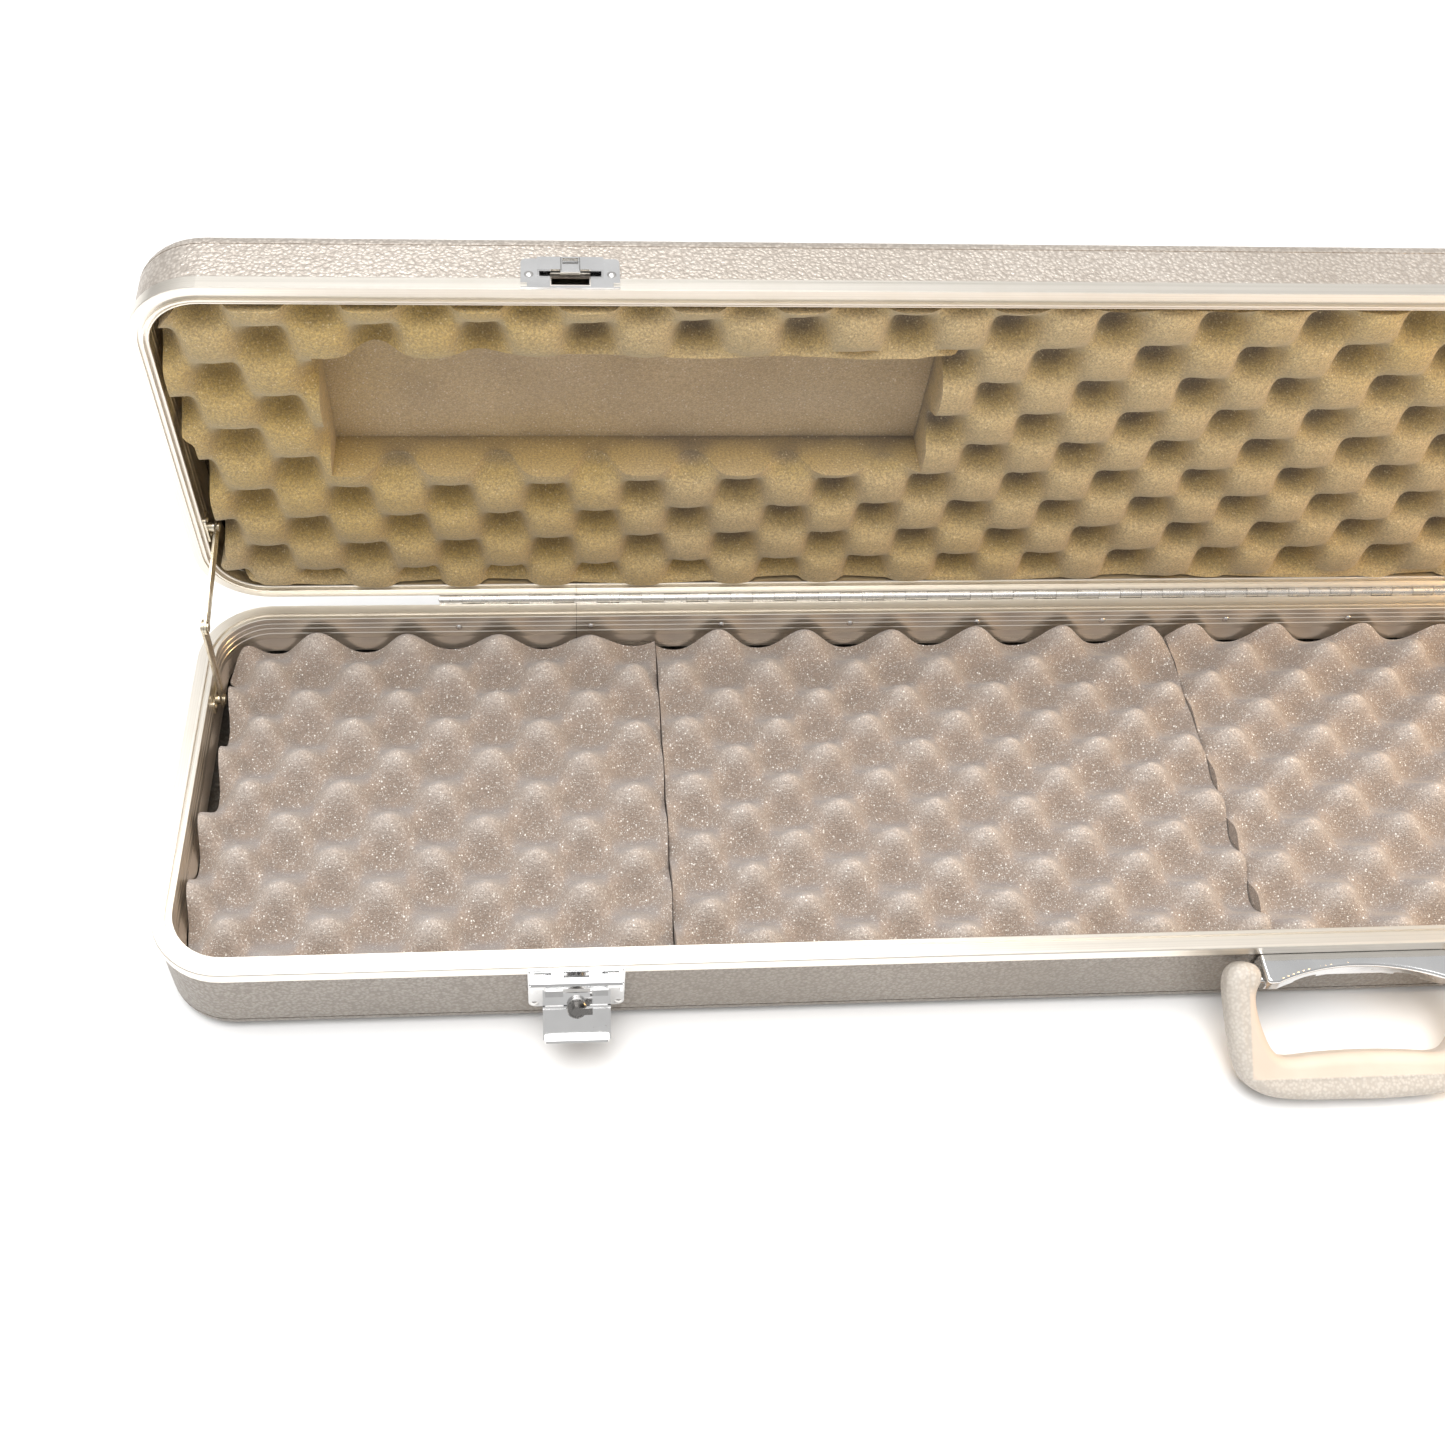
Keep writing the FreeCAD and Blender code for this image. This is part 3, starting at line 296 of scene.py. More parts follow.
def base_pad(i, peak, pitch, turn, shear):
    low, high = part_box("base_foam_%d" % (i + 1))
    ends = (i == 0, i == len(PADS) - 1)
    peak = (X_LEFT + peak[0] * MM, Y_FRONT + peak[1] * MM)
    pitch = (pitch[0] * MM, pitch[1] * MM)

    def cut_face(x, y):
        # the end walls press the first crests of the end pads inwards
        push, reach, width = 8.0 * MM, 46 * MM, 32 * MM
        crest_x = (x - push * fade(X_LEFT + reach - x, width)
                   + push * fade(x - (X_RIGHT - reach), width))
        crest_y = y
        if i == DRAWN_PAD:
            # drawn out at the back, so its last crests stand at the cut edge
            crest_y = y - 5.5 * MM * fade(y - (Y_FRONT + 187 * MM), 21 * MM)
        wave = crate_wave(crest_x, crest_y, peak, pitch, turn, shear, seed=20 + 7 * i)
        crest = ((1 + wave) / 2) ** 1.4
        sag = 0.15 * MM + np.abs(wobble(x, y, 60 + i, size=120 * MM, height=0.7 * MM))
        return high.z - sag - (1 - crest) * PAD_RELIEF, crest

    x_start = low.x + (0.0 if ends[0] else PAD_GAP)
    x_end = high.x - (0.0 if ends[1] else PAD_GAP)
    xs = np.linspace(x_start, x_end, int(round((high.x - low.x) / PAD_GRID)) + 1)
    ys = np.linspace(low.y, high.y, int(round((high.y - low.y) / PAD_GRID)) + 1)
    pad = foam_block("foam_pad_%d" % (i + 1), xs, ys, cut_face, low.z, seed=i + 1,
                     ends=ends, notch=PAD_NOTCH)
    sharpen_cuts(pad)
    return pad


# ---------------------------------------------------------------- lid sheet with its pocket
LID_GRID = 2.2 * MM
LID_RELIEF = 18.0 * MM
LID_PITCH = (50.3 * MM, 45.15 * MM)
LID_PEAK = (X_LEFT + 369.8 * MM, Y_FRONT + 231.3 * MM)
LID_TURN = -0.027
LID_SHEAR = -0.010
LID_STEEP, LID_BIAS = 1.7, 0.35        # flattened crests, wider than the hollows
LID_NOTCH = (NOTCH_FRONT, Y_FRONT + 190.5 * MM)

sheet = shut_points("lid_foam")
SHEET_LEFT, SHEET_FRONT, SHEET_CRESTS = sheet.min(axis=0)
SHEET_RIGHT, SHEET_LIP, SHEET_FLAT = sheet.max(axis=0)
# back wall of the sheet, read at the left end, clear of the lip that stands past it
SHEET_BACK = sheet[sheet[:, 0] < SHEET_LEFT + 28 * MM][:, 1].max()

pocket = sheet[(sheet[:, 0] > SHEET_LEFT + 30 * MM) & (sheet[:, 0] < SHEET_RIGHT - 30 * MM)
               & (sheet[:, 1] > SHEET_FRONT + 8 * MM) & (sheet[:, 1] < SHEET_BACK - 8 * MM)]
POCKET_LEFT, POCKET_FRONT = pocket[:, 0].min(), pocket[:, 1].min()
POCKET_RIGHT, POCKET_BACK = pocket[:, 0].max(), pocket[:, 1].max()
POCKET_CUT = POCKET_FRONT - 5.0 * MM   # the knife cut wandered past the pocket front


def lid_cut_face(x, y):
    wave = crate_wave(x, y, LID_PEAK, LID_PITCH, LID_TURN, LID_SHEAR, seed=91)
    low, high = (np.tanh(LID_STEEP * (end + LID_BIAS)) for end in (-1, 1))
    crest = (np.tanh(LID_STEEP * (wave + LID_BIAS)) - low) / (high - low)
    # along the front cut of the pocket the slab is left full, more so to the right
    beside = np.clip(np.minimum(x - POCKET_LEFT, POCKET_RIGHT - x) / (12 * MM) + 1, 0, 1)
    near = (1 - fade(POCKET_CUT - y, 7.5 * MM)) * (y <= POCKET_CUT + 0.1 * MM) * beside
    near = near * (0.30 + 0.70 * fade(x - POCKET_LEFT - 40 * MM, 120 * MM))
    crest = np.maximum(crest, smooth(near) * (0.86 + 0.06 * np.sin((x - X_LEFT) / (13 * MM))))
    # the frame presses up the edge towards the hinge, so its hollows close
    edge = fade(y - (SHEET_BACK - 7.5 * MM), 6.0 * MM)
    crest = np.maximum(crest, smooth(edge) * (0.80 + 0.12 * np.sin((x - X_LEFT) / (31 * MM))))
    sag = 0.5 * MM + np.abs(wobble(x, y, 77, size=150 * MM, height=0.8 * MM))
    return SHEET_CRESTS + sag + (1 - crest) * LID_RELIEF, crest


def bulge_lip(obj):
    """The last row of crests bulges out over the frame along the hinge."""
    points = read_points(obj.data)
    x, y, z = points.T
    inset = 50 * MM
    between = fade(np.minimum(x - (X_LEFT + inset), (X_RIGHT - inset) - x), 20 * MM)
    near_back = fade(y - (SHEET_BACK - 12 * MM), 12 * MM)
    near_rim = smooth(fade(Z_RIM + 12.5 * MM - z, 7 * MM))
    bulge = SHEET_LIP - SHEET_BACK - 0.2 * MM
    points[:, 1] = y + bulge * between * near_back * near_rim
    write_points(obj.data, points)


def lid_sheet():
    obj = foam_block(
        "foam_lid_sheet",
        cell_steps([SHEET_LEFT, POCKET_LEFT, POCKET_RIGHT, SHEET_RIGHT], LID_GRID),
        cell_steps([SHEET_FRONT, POCKET_CUT, POCKET_BACK, SHEET_BACK], LID_GRID),
        lid_cut_face, SHEET_FLAT, seed=11, notch=LID_NOTCH, crests_up=False, wall_rows=7,
        hole=(POCKET_LEFT, POCKET_RIGHT, POCKET_CUT, POCKET_BACK))
    bulge_lip(obj)
    sharpen_cuts(obj)
    return obj


# ---------------------------------------------------------------- flat sheet behind it
BACKING_GRID = 5.0 * MM
BACKING_RADIUS = 18 * MM
SHELL_ROUND = 9 * MM           # height over which the back edge draws in
SHELL_PULL = 7.0 * MM          # how far it draws in


def backing_face(x, y):
    """Face of the backing, slightly dished where the pocket shows it."""
    inside = fade(np.minimum(np.minimum(x - POCKET_LEFT, POCKET_RIGHT - x),
                             np.minimum(y - POCKET_FRONT, POCKET_BACK - y)), 14 * MM)
    uneven = np.abs(wobble(x, y, 33, size=70 * MM, height=0.8 * MM))
    z = backing_front_z + 0.15 * MM + inside * (0.5 * MM + 0.5 * uneven)
    return z, 0.5 + 0.25 * wobble(x, y, 35, size=60 * MM, height=1.0)


backing = shut_points("lid_foam_backer")
backing_left, backing_front, backing_front_z = backing.min(axis=0)
backing_right, backing_back, backing_rear_z = backing.max(axis=0)


def lid_backing():
    obj = foam_block(
        "foam_lid_backing",
        cell_steps([backing_left, POCKET_LEFT, POCKET_RIGHT, backing_right], BACKING_GRID),
        cell_steps([backing_front, POCKET_FRONT, POCKET_BACK, backing_back], BACKING_GRID),
        backing_face, backing_rear_z, seed=13, radius=BACKING_RADIUS, crests_up=False,
        ragged=0.0)
    # the rear edge follows the rounding of the shell
    points = read_points(obj.data)
    t = fade(points[:, 2] - (backing_rear_z - SHELL_ROUND), SHELL_ROUND)
    pull = SHELL_PULL * (1 - np.sqrt(np.clip(1 - t * t, 0, 1)))
    spans = ((backing_left, backing_right), (backing_front, backing_back))
    for axis, (low, high) in enumerate(spans):
        centre, half = (low + high) / 2, (high - low) / 2
        points[:, axis] = centre + (points[:, axis] - centre) * (1 - pull / half)
    write_points(obj.data, points)
    sharpen_cuts(obj)
    return obj


pad_objects = [base_pad(i, *pad) for i, pad in enumerate(PADS)]
sheet_object = lid_sheet()
backing_object = lid_backing()
for lid_foam in (sheet_object, backing_object):
    write_points(lid_foam.data, turn_lid(read_points(lid_foam.data), OPEN_ANGLE))


# ---------------------------------------------------------------- shader helpers
def add_node(tree, kind, inputs=None, **props):
    """New node; inputs maps a socket name or number to a value or a socket to link."""
    node = tree.nodes.new(kind)
    for key, value in props.items():
        setattr(node, key, value)
    for key, value in (inputs or {}).items():
        if isinstance(value, bpy.types.NodeSocket):
            tree.links.new(value, node.inputs[key])
        else:
            node.inputs[key].default_value = value
    return node


def shade(colour, *factors):
    """Multiply a colour by one factor, or by one for each channel."""
    return tuple(channel * factor for channel, factor in zip(colour, factors * 3))


def rgba(colour):
    return colour if isinstance(colour, bpy.types.NodeSocket) else (*colour, 1.0)


class Mat:
    """A Principled material; `place` is the texture coordinate, with the lid as if shut."""

    def __init__(self, name, lid=False):
        self.material = bpy.data.materials.new(name)
        self.material.use_nodes = True
        self.tree = self.material.node_tree
        self.tree.nodes.clear()
        self.place = self.node("ShaderNodeTexCoord").outputs["Object"]
        if lid:
            self.place = self.node(
                "ShaderNodeVectorRotate",
                {"Vector": self.place, "Center": HINGE, "Axis": (1, 0, 0), "Angle": OPEN_ANGLE},
                rotation_type="AXIS_ANGLE").outputs[0]

    def node(self, kind, inputs=None, **props):
        return add_node(self.tree, kind, inputs, **props)

    def surface(self, **inputs):
        inputs = {key.replace("_", " "): value for key, value in inputs.items()}
        shader = self.node("ShaderNodeBsdfPrincipled", inputs)
        self.node("ShaderNodeOutputMaterial", {0: shader.outputs[0]})
        return self.material

    def stretch(self, vector, x, y, z):
        return self.node("ShaderNodeVectorMath", {0: vector, 1: (x, y, z)},
                         operation="MULTIPLY").outputs[0]

    def xyz(self, vector):
        return self.node("ShaderNodeSeparateXYZ", {0: vector}).outputs

    def noise(self, vector, scale, detail=3.0, rough=0.55, out="Fac"):
        return self.node("ShaderNodeTexNoise", {"Vector": vector, "Scale": scale,
                                                "Detail": detail, "Roughness": rough}).outputs[out]

    def cells(self, vector, scale, out="Distance"):
        return self.node("ShaderNodeTexVoronoi", {"Vector": vector, "Scale": scale},
                         feature="F1").outputs[out]

    def pebbles(self, vector, scale, smoothness):
        return self.node("ShaderNodeTexVoronoi",
                         {"Vector": vector, "Scale": scale, "Smoothness": smoothness},
                         feature="SMOOTH_F1").outputs["Distance"]

    def math(self, operation, a, b=0.0, clamp=False):
        return self.node("ShaderNodeMath", {0: a, 1: b}, operation=operation,
                         use_clamp=clamp).outputs[0]

    def add(self, a, b):
        return self.math("ADD", a, b)

    def sub(self, a, b):
        return self.math("SUBTRACT", a, b)

    def mul(self, a, b):
        return self.math("MULTIPLY", a, b)

    def weighted(self, *terms):
        """Sum of (socket, weight) terms."""
        total, *others = [self.mul(socket, weight) for socket, weight in terms]
        for part in others:
            total = self.add(total, part)
        return total

    def ramp(self, value, span, to=(0.0, 1.0), kind="LINEAR"):
        return self.node("ShaderNodeMapRange",
                         {"Value": value, "From Min": span[0], "From Max": span[1],
                          "To Min": to[0], "To Max": to[1]},
                         interpolation_type=kind).outputs["Result"]

    def mix(self, factor, under, over):
        return self.node("ShaderNodeMix", {0: factor, 6: rgba(under), 7: rgba(over)},
                         data_type="RGBA").outputs[2]

    def bump(self, height, strength, distance, **normal):
        return self.node("ShaderNodeBump", {"Height": height, "Strength": strength,
                                            "Distance": distance, **normal}).outputs[0]

    def rim_place(self):
        """(along the wall, distance out from the outline, height).

        Streaks in this coordinate follow the bent extrusion round its corners.
        """
        radius = 0.0366
        x, y, z = self.xyz(self.place)

        def past_corner(value, low, high):
            """How far a coordinate lies past the start of the corner arc."""
            from_centre = self.math("ABSOLUTE", self.sub(value, (low + high) / 2))
            return self.sub(from_centre, (high - low) / 2 - radius)

        past_x = past_corner(x, X_LEFT, X_RIGHT)
        past_y = past_corner(y, Y_FRONT, Y_BACK)
        out_x = self.math("MAXIMUM", past_x, 0.0)
        out_y = self.math("MAXIMUM", past_y, 0.0)
        outside = self.math("SQRT", self.add(self.mul(out_x, out_x), self.mul(out_y, out_y)))
        inside = self.math("MINIMUM", self.math("MAXIMUM", past_x, past_y), 0.0)
        return self.node("ShaderNodeCombineXYZ", {0: self.add(x, y),
                                                  1: self.add(outside, inside),
                                                  2: z}).outputs[0]


# ---------------------------------------------------------------- materials
# Texture scales are per metre and bump distances in metres.
def skin_material(name, lid):
    """Embossed leather grain: rounded pebbles with fine creases between."""
    m = Mat(name, lid)
    # the lid copy is painted lighter (1.2) and the base copy darker (0.70): painted light on the
    # lid's upturned side and painted shade on the base's front, on one and the same skin
    painted_light_factor = 1.2 if lid else 0.70
    drift = m.noise(m.place, scale=160.0, detail=2.0, rough=0.5, out="Color")
    warp_size = (0.0022, 0.0022, 0.0022)
    warped = m.node("ShaderNodeVectorMath", {0: drift, 1: warp_size, 2: m.place},
                    operation="MULTIPLY_ADD").outputs[0]
    coarse = m.pebbles(warped, scale=520.0, smoothness=0.35)
    small = m.pebbles(warped, scale=1150.0, smoothness=0.4)
    fine = m.noise(m.place, scale=2000.0, detail=2.0, rough=0.6)
    height = m.weighted((coarse, -1.0), (small, -0.35), (fine, 0.16))
    colour = m.mix(m.ramp(m.noise(m.place, scale=9.0), span=(0.35, 0.65)),
                   under=shade((0.44, 0.395, 0.345), painted_light_factor),
                   over=shade((0.52, 0.475, 0.425), painted_light_factor))
    # the creases between the pebbles are painted darker: painted shade in the hollows of the grain
    crease = m.ramp(coarse, span=(0.30, 0.62), to=(0.0, 0.55))
    colour = m.mix(crease, colour, over=shade((0.29, 0.25, 0.215), painted_light_factor))
    rub = m.ramp(m.noise(m.place, scale=38.0, detail=5.0, rough=0.7),
                 span=(0.60, 0.74), to=(0.0, 0.35))
    colour = m.mix(rub, colour, over=shade((0.60, 0.56, 0.51), painted_light_factor))
    polish = -0.3                      # rubbed spots are smoother
    rough = m.ramp(m.add(small, m.mul(rub, polish)), span=(0.0, 0.8), to=(0.30, 0.50))
    return m.surface(Base_Color=colour, Metallic=0.62, Roughness=rough,
                     Normal=m.bump(height, strength=0.55, distance=0.0006))


def extrusion_material(name, lid):
    """Satin metal with streaks along the extrusion, smudges and bright nicks."""
    m = Mat(name, lid)
    # the warm tint of the metal is a painted reflection of the golden lid foam; the pale satin
    # grey under it is the metal's own
    metal = (0.95, 0.90, 0.82)
    rim = m.rim_place()
    streak = m.noise(m.stretch(rim, x=2.2, y=1500.0, z=1500.0), scale=1.0, detail=4.0, rough=0.7)
    broad = m.noise(m.stretch(rim, x=1.2, y=260.0, z=260.0), scale=1.0, detail=2.0, rough=0.5)
    smudge = m.noise(m.place, scale=26.0, detail=4.0, rough=0.6)
    satin = m.weighted((streak, 0.65), (broad, 0.35))
    colour = m.mix(m.ramp(satin, span=(0.36, 0.64)),
                   under=shade(metal, 0.86, 0.855, 0.84), over=metal)
    colour = m.mix(m.ramp(smudge, span=(0.52, 0.75), to=(0.0, 0.25)), colour,
                   over=shade(metal, 0.82, 0.80, 0.76))
    nick = m.noise(m.stretch(rim, x=60.0, y=420.0, z=420.0), scale=1.0, rough=0.7)
    colour = m.mix(m.ramp(nick, span=(0.70, 0.76), to=(0.0, 0.5)), colour,
                   over=(0.93, 0.93, 0.92))
    return m.surface(Base_Color=colour, Metallic=1.0,
                     Roughness=m.ramp(satin, span=(0.3, 0.7), to=(0.24, 0.40)),
                     Normal=m.bump(satin, strength=0.16, distance=0.00025))


def hinge_material(name, lid):
    """Metal streaked along X, with duller spots."""
    m = Mat(name, lid)
    streak = m.noise(m.stretch(m.place, x=30.0, y=1400.0, z=1400.0), scale=1.0, rough=0.7)
    spot = m.noise(m.place, scale=140.0, detail=4.0, rough=0.6)
    colour = m.mix(m.ramp(streak, span=(0.35, 0.65)),
                   under=(0.66, 0.63, 0.58), over=(0.84, 0.82, 0.79))
    colour = m.mix(m.ramp(spot, span=(0.56, 0.72), to=(0.0, 0.45)), colour,
                   over=(0.52, 0.48, 0.42))
    return m.surface(Base_Color=colour, Metallic=1.0,
                     Roughness=m.ramp(spot, span=(0.3, 0.7), to=(0.20, 0.36)),
                     Normal=m.bump(streak, strength=0.14, distance=0.0002))


def chrome_material(name, lid=False, tint=(0.93, 0.93, 0.93), rough=0.10):
    """Plated metal, gently wavy, with fine scratches and dark pits."""
    m = Mat(name, lid)
    wave = m.noise(m.place, scale=55.0, detail=2.0, rough=0.4)
    scratch = m.noise(m.stretch(m.place, x=900.0, y=120.0, z=900.0), scale=1.0, rough=0.7)
    pit = m.ramp(m.noise(m.place, scale=520.0, rough=0.6), span=(0.66, 0.74))
    colour = m.mix(m.ramp(wave, span=(0.3, 0.7)), under=shade(tint, 0.90), over=tint)
    pit_dark, pit_rough, scratch_rough = 0.5, 0.25, 0.10
    colour = m.mix(m.mul(pit, pit_dark), colour, over=(0.34, 0.31, 0.27))
    scratched = m.ramp(scratch, span=(0.4, 0.7), to=(rough, rough + scratch_rough))
    waves = m.bump(wave, strength=0.35, distance=0.0012)
    return m.surface(Base_Color=colour, Metallic=1.0,
                     Roughness=m.add(scratched, m.mul(pit, pit_rough)),
                     Normal=m.bump(scratch, strength=0.05, distance=0.0001, Normal=waves))


def brass_material(name):
    """Pale brass, patchily tarnished."""
    m = Mat(name)
    streak = m.noise(m.stretch(m.place, x=500.0, y=60.0, z=60.0), scale=1.0, rough=0.7)
    tarnish = m.noise(m.place, scale=120.0, detail=4.0, rough=0.65)
    colour = m.mix(m.ramp(streak, span=(0.35, 0.65)),
                   under=(0.60, 0.53, 0.40), over=(0.78, 0.72, 0.60))
    colour = m.mix(m.ramp(tarnish, span=(0.5, 0.72), to=(0.0, 0.7)), colour,
                   over=(0.40, 0.30, 0.17))
    return m.surface(Base_Color=colour, Metallic=1.0,
                     Roughness=m.ramp(tarnish, span=(0.3, 0.7), to=(0.22, 0.42)),
                     Normal=m.bump(tarnish, strength=0.12, distance=0.0003))


def handle_material(name):
    """Grained plastic; the inner side is smooth, parted from the grain by a fine line."""
    m = Mat(name)
    coarse = m.pebbles(m.place, scale=620.0, smoothness=0.4)
    fine = m.noise(m.place, scale=1300.0, detail=2.0, rough=0.6)
    height = m.weighted((coarse, -1.0), (fine, 0.3))
    patches = m.noise(m.place, scale=24.0)
    colour = m.mix(m.ramp(patches, span=(0.35, 0.65)),
                   under=(0.52, 0.475, 0.42), over=(0.58, 0.54, 0.485))
    # the creases between the pebbles are painted darker: painted shade in the hollows of the grain
    colour = m.mix(m.ramp(coarse, span=(0.30, 0.62), to=(0.0, 0.45)), colour,
                   over=(0.36, 0.315, 0.27))
    grime = m.noise(m.place, scale=90.0, detail=5.0, rough=0.7)
    colour = m.mix(m.ramp(grime, span=(0.60, 0.76), to=(0.0, 0.4)), colour,
                   over=(0.38, 0.32, 0.25))

    # reach runs out from the pivot, forwards and down along the hanging handle
    pivot = Vector(JOINT["handle_hinge"]["pos_m"])
    droop = math.radians(37.0)
    side_offset = 0.0105
    x, y, z = m.xyz(m.place)
    reach = m.weighted((m.sub(y, pivot.y), -math.cos(droop)),
                       (m.sub(z, pivot.z), -math.sin(droop)))
    edge = m.math("MAXIMUM", reach, m.sub(m.math("ABSOLUTE", x), side_offset))
    inner = m.mul(m.ramp(edge, span=(0.0462, 0.0472), to=(1.0, 0.0)),
                  m.ramp(reach, span=(0.002, 0.008)))
    line = m.mul(m.ramp(edge, span=(0.0462, 0.0470)),
                 m.ramp(edge, span=(0.0474, 0.0484), to=(1.0, 0.0)))
    smooth_colour = m.mix(m.ramp(patches, span=(0.35, 0.65)),
                          under=(0.60, 0.50, 0.41), over=(0.66, 0.57, 0.48))
    colour = m.mix(inner, colour, smooth_colour)
    grain_loss, line_height = 0.9, 0.9
    height = m.mul(height, m.sub(1.0, m.mul(inner, grain_loss)))
    height = m.add(height, m.mul(line, line_height))
    return m.surface(Base_Color=colour, Metallic=0.0,
                     Roughness=m.ramp(fine, span=(0.3, 0.7), to=(0.42, 0.60)),
                     Normal=m.bump(height, strength=0.32, distance=0.0006))


def foam_material(name, lid, peak, mid, deep, spark, spark_amount):
    """Open-cell foam: crests painted lighter and hollows painted darker from the crest attribute,
    fine pores painted darker, bright cell-wall glints.
    """
    m = Mat(name, lid)
    crest = m.node("ShaderNodeAttribute", attribute_name="crest").outputs["Fac"]
    warp = m.noise(m.place, scale=42.0, rough=0.6)
    warp_centre, warp_weight = 0.5, 0.35
    height = m.add(crest, m.mul(m.sub(warp, warp_centre), warp_weight))
    # the crests are painted lighter and the hollows darker by the crest value: painted light on
    # the crests and painted shade in the hollows
    colour = m.mix(m.ramp(height, span=(0.0, 0.5), kind="SMOOTHSTEP"), deep, mid)
    colour = m.mix(m.ramp(height, span=(0.42, 0.92), kind="SMOOTHSTEP"), colour, peak)
    stain = m.noise(m.place, scale=7.0, rough=0.5)
    colour = m.mix(m.ramp(stain, span=(0.35, 0.7), to=(0.0, 0.22)), colour,
                   over=shade(mid, 0.82, 0.80, 0.76))
    if lid:
        yellowed = m.noise(m.place, scale=5.0, detail=2.0, rough=0.5)
        colour = m.mix(m.ramp(yellowed, span=(0.48, 0.66), to=(0.0, 0.55)), colour,
                       over=shade(mid, 1.0, 0.93, 0.55))

    cell = m.cells(m.place, scale=1150.0)
    pore = m.noise(m.place, scale=900.0, rough=0.7)
    # the pores are painted darker: painted shade inside the open cells
    pore_dark = 0.55
    gap = m.sub(1.0, m.ramp(pore, span=(0.36, 0.64)))
    colour = m.mix(m.mul(gap, pore_dark), colour, over=shade(deep, 0.55))

    def glints(scale, channel, chosen, size, strength):
        """Dots in the cells whose random colour channel is high enough."""
        random = m.node("ShaderNodeSeparateColor", {0: m.cells(m.place, scale, out="Color")})
        return m.mul(m.ramp(random.outputs[channel], span=chosen),
                     m.ramp(m.cells(m.place, scale), span=size, to=(strength, 0.0)))

    sparse = glints(scale=880.0, channel=0, chosen=(0.92, 0.97), size=(0.28, 0.5), strength=1.0)
    dense = glints(scale=1450.0, channel=1, chosen=(0.62, 0.9), size=(0.25, 0.5), strength=0.7)
    glint = m.math("MULTIPLY", m.math("MAXIMUM", sparse, dense), spark_amount, clamp=True)
    colour = m.mix(glint, colour, spark)

    # faces turned to the back in the base, or down in the open lid, are painted cooler: painted
    # cool light on the base's back flanks and painted cool shade under the lid's crests
    normal = m.xyz(m.node("ShaderNodeNewGeometry").outputs["Normal"])
    if lid:
        turned = m.ramp(normal[2], span=(-0.55, 0.1), to=(1.0, 0.0), kind="SMOOTHSTEP")
        cool = shade(mid, 0.72, 0.84, 1.25)
    else:
        turned = m.ramp(normal[1], span=(-0.1, 0.6), kind="SMOOTHSTEP")
        cool = shade(mid, 0.66, 0.76, 0.92)
    painted_tint_amount = 0.55
    colour = m.mix(m.mul(turned, painted_tint_amount), colour, cool)
    texture = m.weighted((cell, -0.8), (pore, 0.9))
    return m.surface(Base_Color=colour, Roughness=0.92, Specular_IOR_Level=0.22,
                     Sheen_Weight=0.25, Sheen_Roughness=0.6, Sheen_Tint=(1.0, 0.95, 0.88, 1.0),
                     Normal=m.bump(texture, strength=0.6, distance=0.0007))


def put_material(obj, material):
    if not obj.material_slots:
        obj.data.materials.append(material)
    for slot in obj.material_slots:
        slot.material = material


RIVET = dict(tint=(0.80, 0.79, 0.77), rough=0.18)
skin_base = skin_material("pebbled_skin_base", False)
skin_lid = skin_material("pebbled_skin_lid", True)
frame_base = extrusion_material("satin_frame_base", False)
frame_lid = extrusion_material("satin_frame_lid", True)
hinge_base = hinge_material("hinge_metal_base", False)
hinge_lid = hinge_material("hinge_metal_lid", True)
# lit and shaded copies of one plating: the keeper and lever chrome is tinted lighter (0.93) than
# the rest (0.78), painted light on the upturned parts and painted shade on the others
chrome_base = chrome_material("chrome_base", tint=(0.78, 0.78, 0.78), rough=0.08)
chrome_lever = chrome_material("chrome_lever")
chrome_lid = chrome_material("chrome_lid", lid=True)
rivet_base = chrome_material("rivet_base", **RIVET)
rivet_lid = chrome_material("rivet_lid", lid=True, **RIVET)
lock_metal = chrome_material("lock_dark_metal", tint=(0.30, 0.29, 0.28), rough=0.22)
brass = brass_material("stay_brass_metal")
grip = handle_material("handle_plastic_grain")
# peak, mid and deep run from painted light on the crests to painted shade in the hollows
foam_base = foam_material(
    "foam_taupe", lid=False, peak=(0.56, 0.49, 0.44), mid=(0.40, 0.325, 0.275),
    deep=(0.31, 0.245, 0.20), spark=(0.93, 0.90, 0.84), spark_amount=0.9)
foam_lid = foam_material(
    "foam_tan", lid=True, peak=(0.62, 0.47, 0.25), mid=(0.58, 0.42, 0.18),
    deep=(0.19, 0.15, 0.11), spark=(0.92, 0.78, 0.50), spark_amount=0.45)
foam_pocket = foam_material(
    "foam_pocket", lid=True, peak=(0.62, 0.47, 0.29), mid=(0.56, 0.42, 0.25),
    deep=(0.44, 0.33, 0.20), spark=(0.92, 0.84, 0.70), spark_amount=0.45)

# whole names are looked up first, then the start of the name; the rest is chrome
BY_NAME = {
    "base_shell": skin_base, "lid_shell": skin_lid,
    "base_frame": frame_base, "lid_frame": frame_lid,
    "hinge_base_leaf": hinge_base, "hinge_pin": hinge_base, "hinge_lid_leaf": hinge_lid,
    "hinge_rivets_base": rivet_base, "latch_rivets": rivet_base,
    "hinge_rivets_lid": rivet_lid, "keeper_rivets": rivet_lid,
    "handle_grip": grip, "lid_foam": foam_lid, "lid_foam_backer": foam_pocket,
}
BY_START = {"keeper": chrome_lid, "lock_barrel": lock_metal, "latch_lever": chrome_lever,
            "stay": brass, "base_foam": foam_base}


def material_for(name):
    if name in BY_NAME:
        return BY_NAME[name]
    for start, material in BY_START.items():
        if name.startswith(start):
            return material
    return chrome_base


for name in NODES:
    put_material(NODES[name], material_for(name))


def register(obj, material, part, replaced):
    put_material(obj, material)
    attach(obj, part)
    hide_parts(replaced)


for i, pad in enumerate(pad_objects):
    register(pad, foam_base, "base", "base_foam_%d" % (i + 1))
register(sheet_object, foam_lid, "lid", "lid_foam")
register(backing_object, foam_pocket, "lid", "lid_foam_backer")


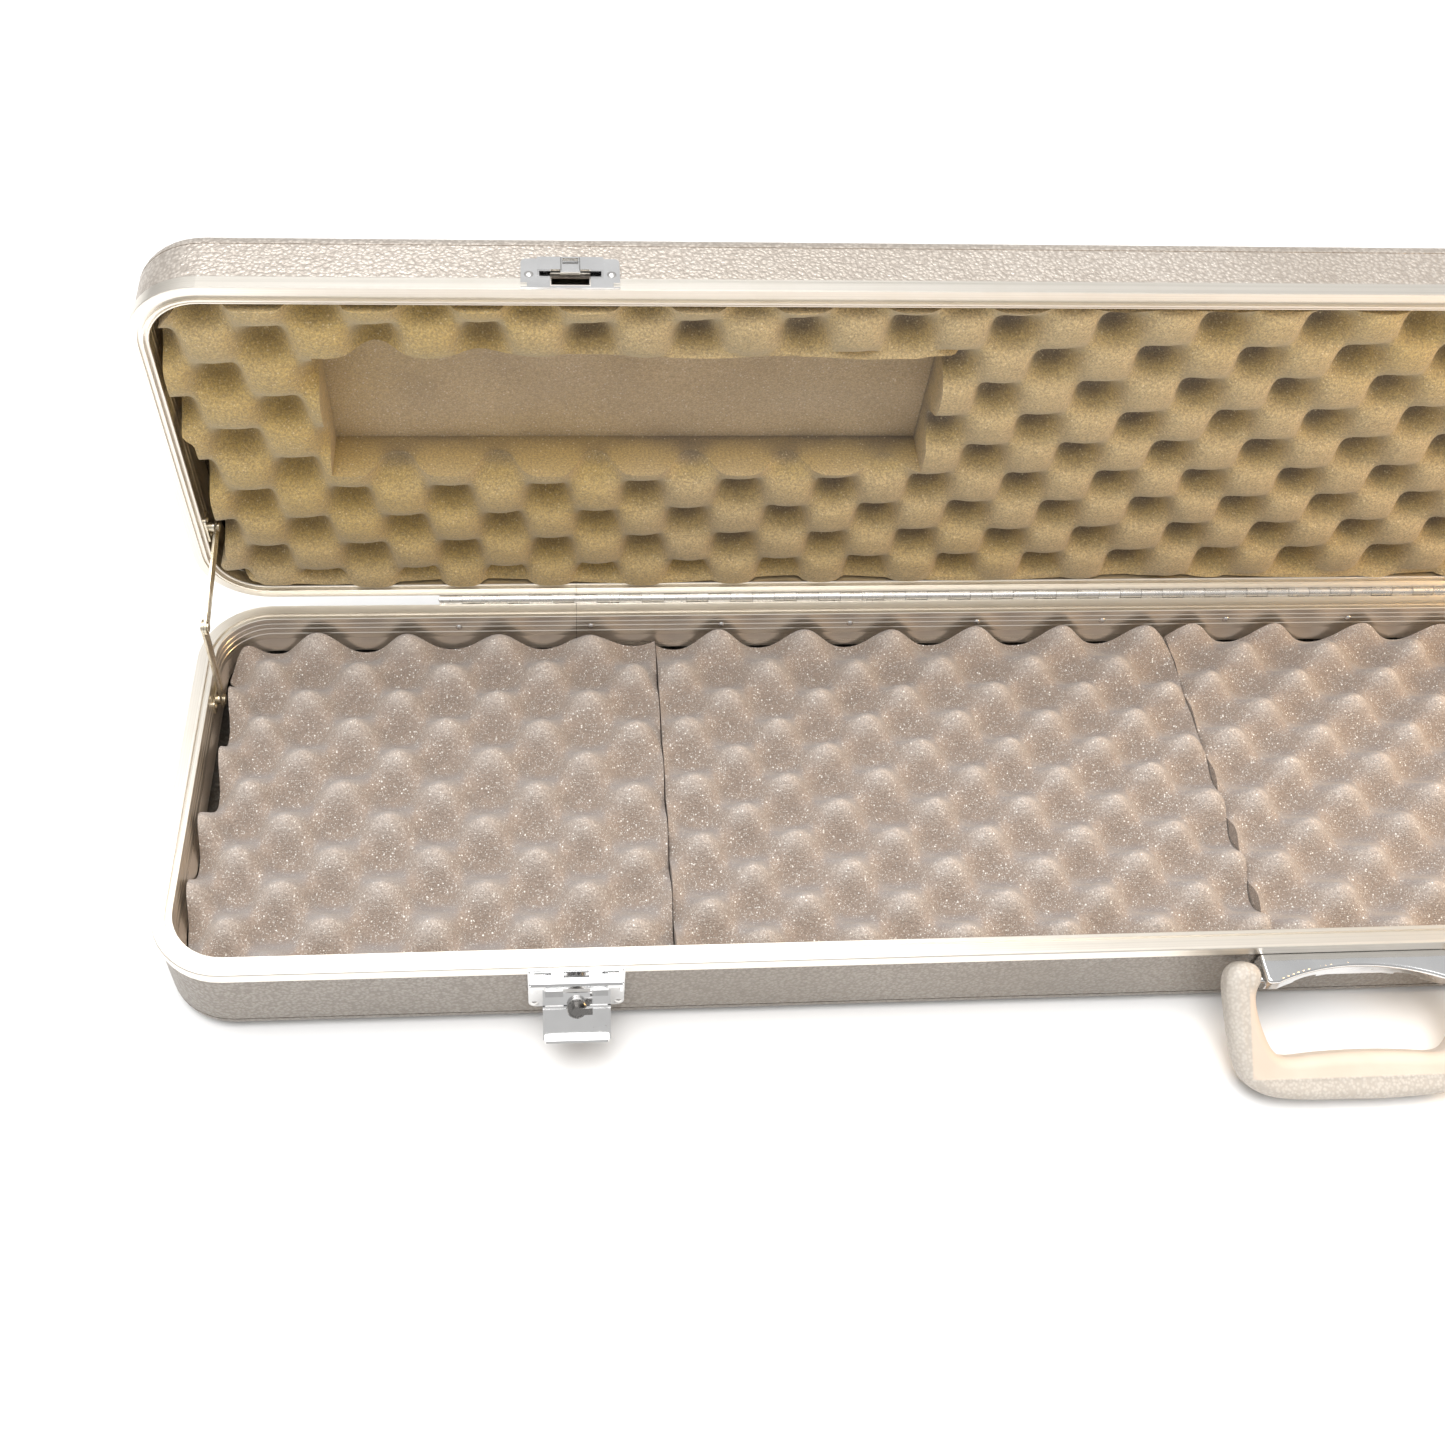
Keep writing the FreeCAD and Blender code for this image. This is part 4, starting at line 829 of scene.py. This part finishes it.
# ---------------------------------------------------------------- floor, world and lights
def build_floor():
    m = Mat("floor_pale")
    colour = m.mix(m.noise(m.place, scale=3.0, detail=4.0),
                   under=(0.86, 0.86, 0.86), over=(0.89, 0.89, 0.885))
    material = m.surface(Base_Color=colour, Roughness=0.8)
    mesh = bpy.data.meshes.new("floor")
    corners = [(-14, -10, 0), (14, -10, 0), (14, 18, 0), (-14, 18, 0)]
    mesh.from_pydata(corners, [], [(0, 1, 2, 3)])
    floor = add_object("floor", mesh)
    floor.location.z = -0.5 * MM
    mesh.materials.append(material)


def build_world():
    """Grey below, brightening to white overhead."""
    world = bpy.data.worlds.new("studio")
    bpy.context.scene.world = world
    world.use_nodes = True
    tree = world.node_tree
    tree.nodes.clear()
    direction = add_node(tree, "ShaderNodeTexCoord").outputs["Generated"]
    height = add_node(tree, "ShaderNodeSeparateXYZ", {0: direction}).outputs[2]
    level = add_node(tree, "ShaderNodeMapRange",
                     {"Value": height, "From Min": -0.05, "From Max": 1.0}).outputs[0]
    sky = add_node(tree, "ShaderNodeValToRGB", {0: level})
    stops = sky.color_ramp.elements
    stops[0].color = (0.36, 0.35, 0.34, 1)
    stops[1].color = (1.0, 1.0, 1.0, 1)
    stops.new(0.35).color = (0.72, 0.71, 0.70, 1)
    background = add_node(tree, "ShaderNodeBackground", {"Color": sky.outputs[0],
                                                         "Strength": 0.76})
    add_node(tree, "ShaderNodeOutputWorld", {0: background.outputs[0]})


def aim(direction):
    return direction.to_track_quat("-Z", "Y").to_euler()


def add_sun(name, direction, energy, spread_deg):
    light = bpy.data.lights.new(name, "SUN")
    light.energy = energy
    light.angle = math.radians(spread_deg)
    add_object(name, light).rotation_euler = aim(Vector(direction))


def add_area(name, location, target, size, power, color=(1, 1, 1)):
    light = bpy.data.lights.new(name, "AREA")
    light.shape = "RECTANGLE"
    light.size, light.size_y = size
    light.energy = power
    light.color = color
    obj = add_object(name, light)
    obj.location = location
    obj.rotation_euler = aim(Vector(target) - Vector(location))


build_floor()
build_world()
add_sun("soft_key", direction=(0.22, 0.06, -1.0), energy=1.55, spread_deg=38)
add_area("overhead", location=(-0.3, -0.1, 2.2), target=(0, 0, 0.1), size=(2.6, 1.6), power=38)
add_area("warm_right", location=(0.62, -0.05, 0.42), target=(0.16, 0.115, 0.05),
         size=(0.30, 0.22), power=2.6, color=(1.0, 0.62, 0.24))

# ---------------------------------------------------------------- camera
CAMERA_PLACE = Vector((-393.099, -473.571, 722.231)) * MM
# radians: yaw from +Y towards +X, pitch downwards, roll about the view line
YAW, PITCH, ROLL = 0.12014, 0.85733, 0.08067


def build_camera():
    camera = bpy.data.cameras.new("camera")
    camera.sensor_width = 36.0
    camera.sensor_fit = "HORIZONTAL"
    camera.lens = 38.948911
    camera.shift_x = 0.031707958
    camera.shift_y = -0.069922491
    camera.clip_end = 60
    forward = Vector((math.sin(YAW) * math.cos(PITCH), math.cos(YAW) * math.cos(PITCH),
                      -math.sin(PITCH)))
    level_right = Vector((math.cos(YAW), -math.sin(YAW), 0))
    level_up = level_right.cross(forward)
    right = math.cos(ROLL) * level_right + math.sin(ROLL) * level_up
    up = -math.sin(ROLL) * level_right + math.cos(ROLL) * level_up
    pose = Matrix((right, up, -forward)).transposed().to_4x4()
    pose.translation = CAMERA_PLACE
    obj = add_object("camera", camera)
    obj.matrix_world = pose
    bpy.context.scene.camera = obj


build_camera()
bpy.context.scene.view_settings.view_transform = "Standard"
bpy.context.scene.view_settings.exposure = 0.0
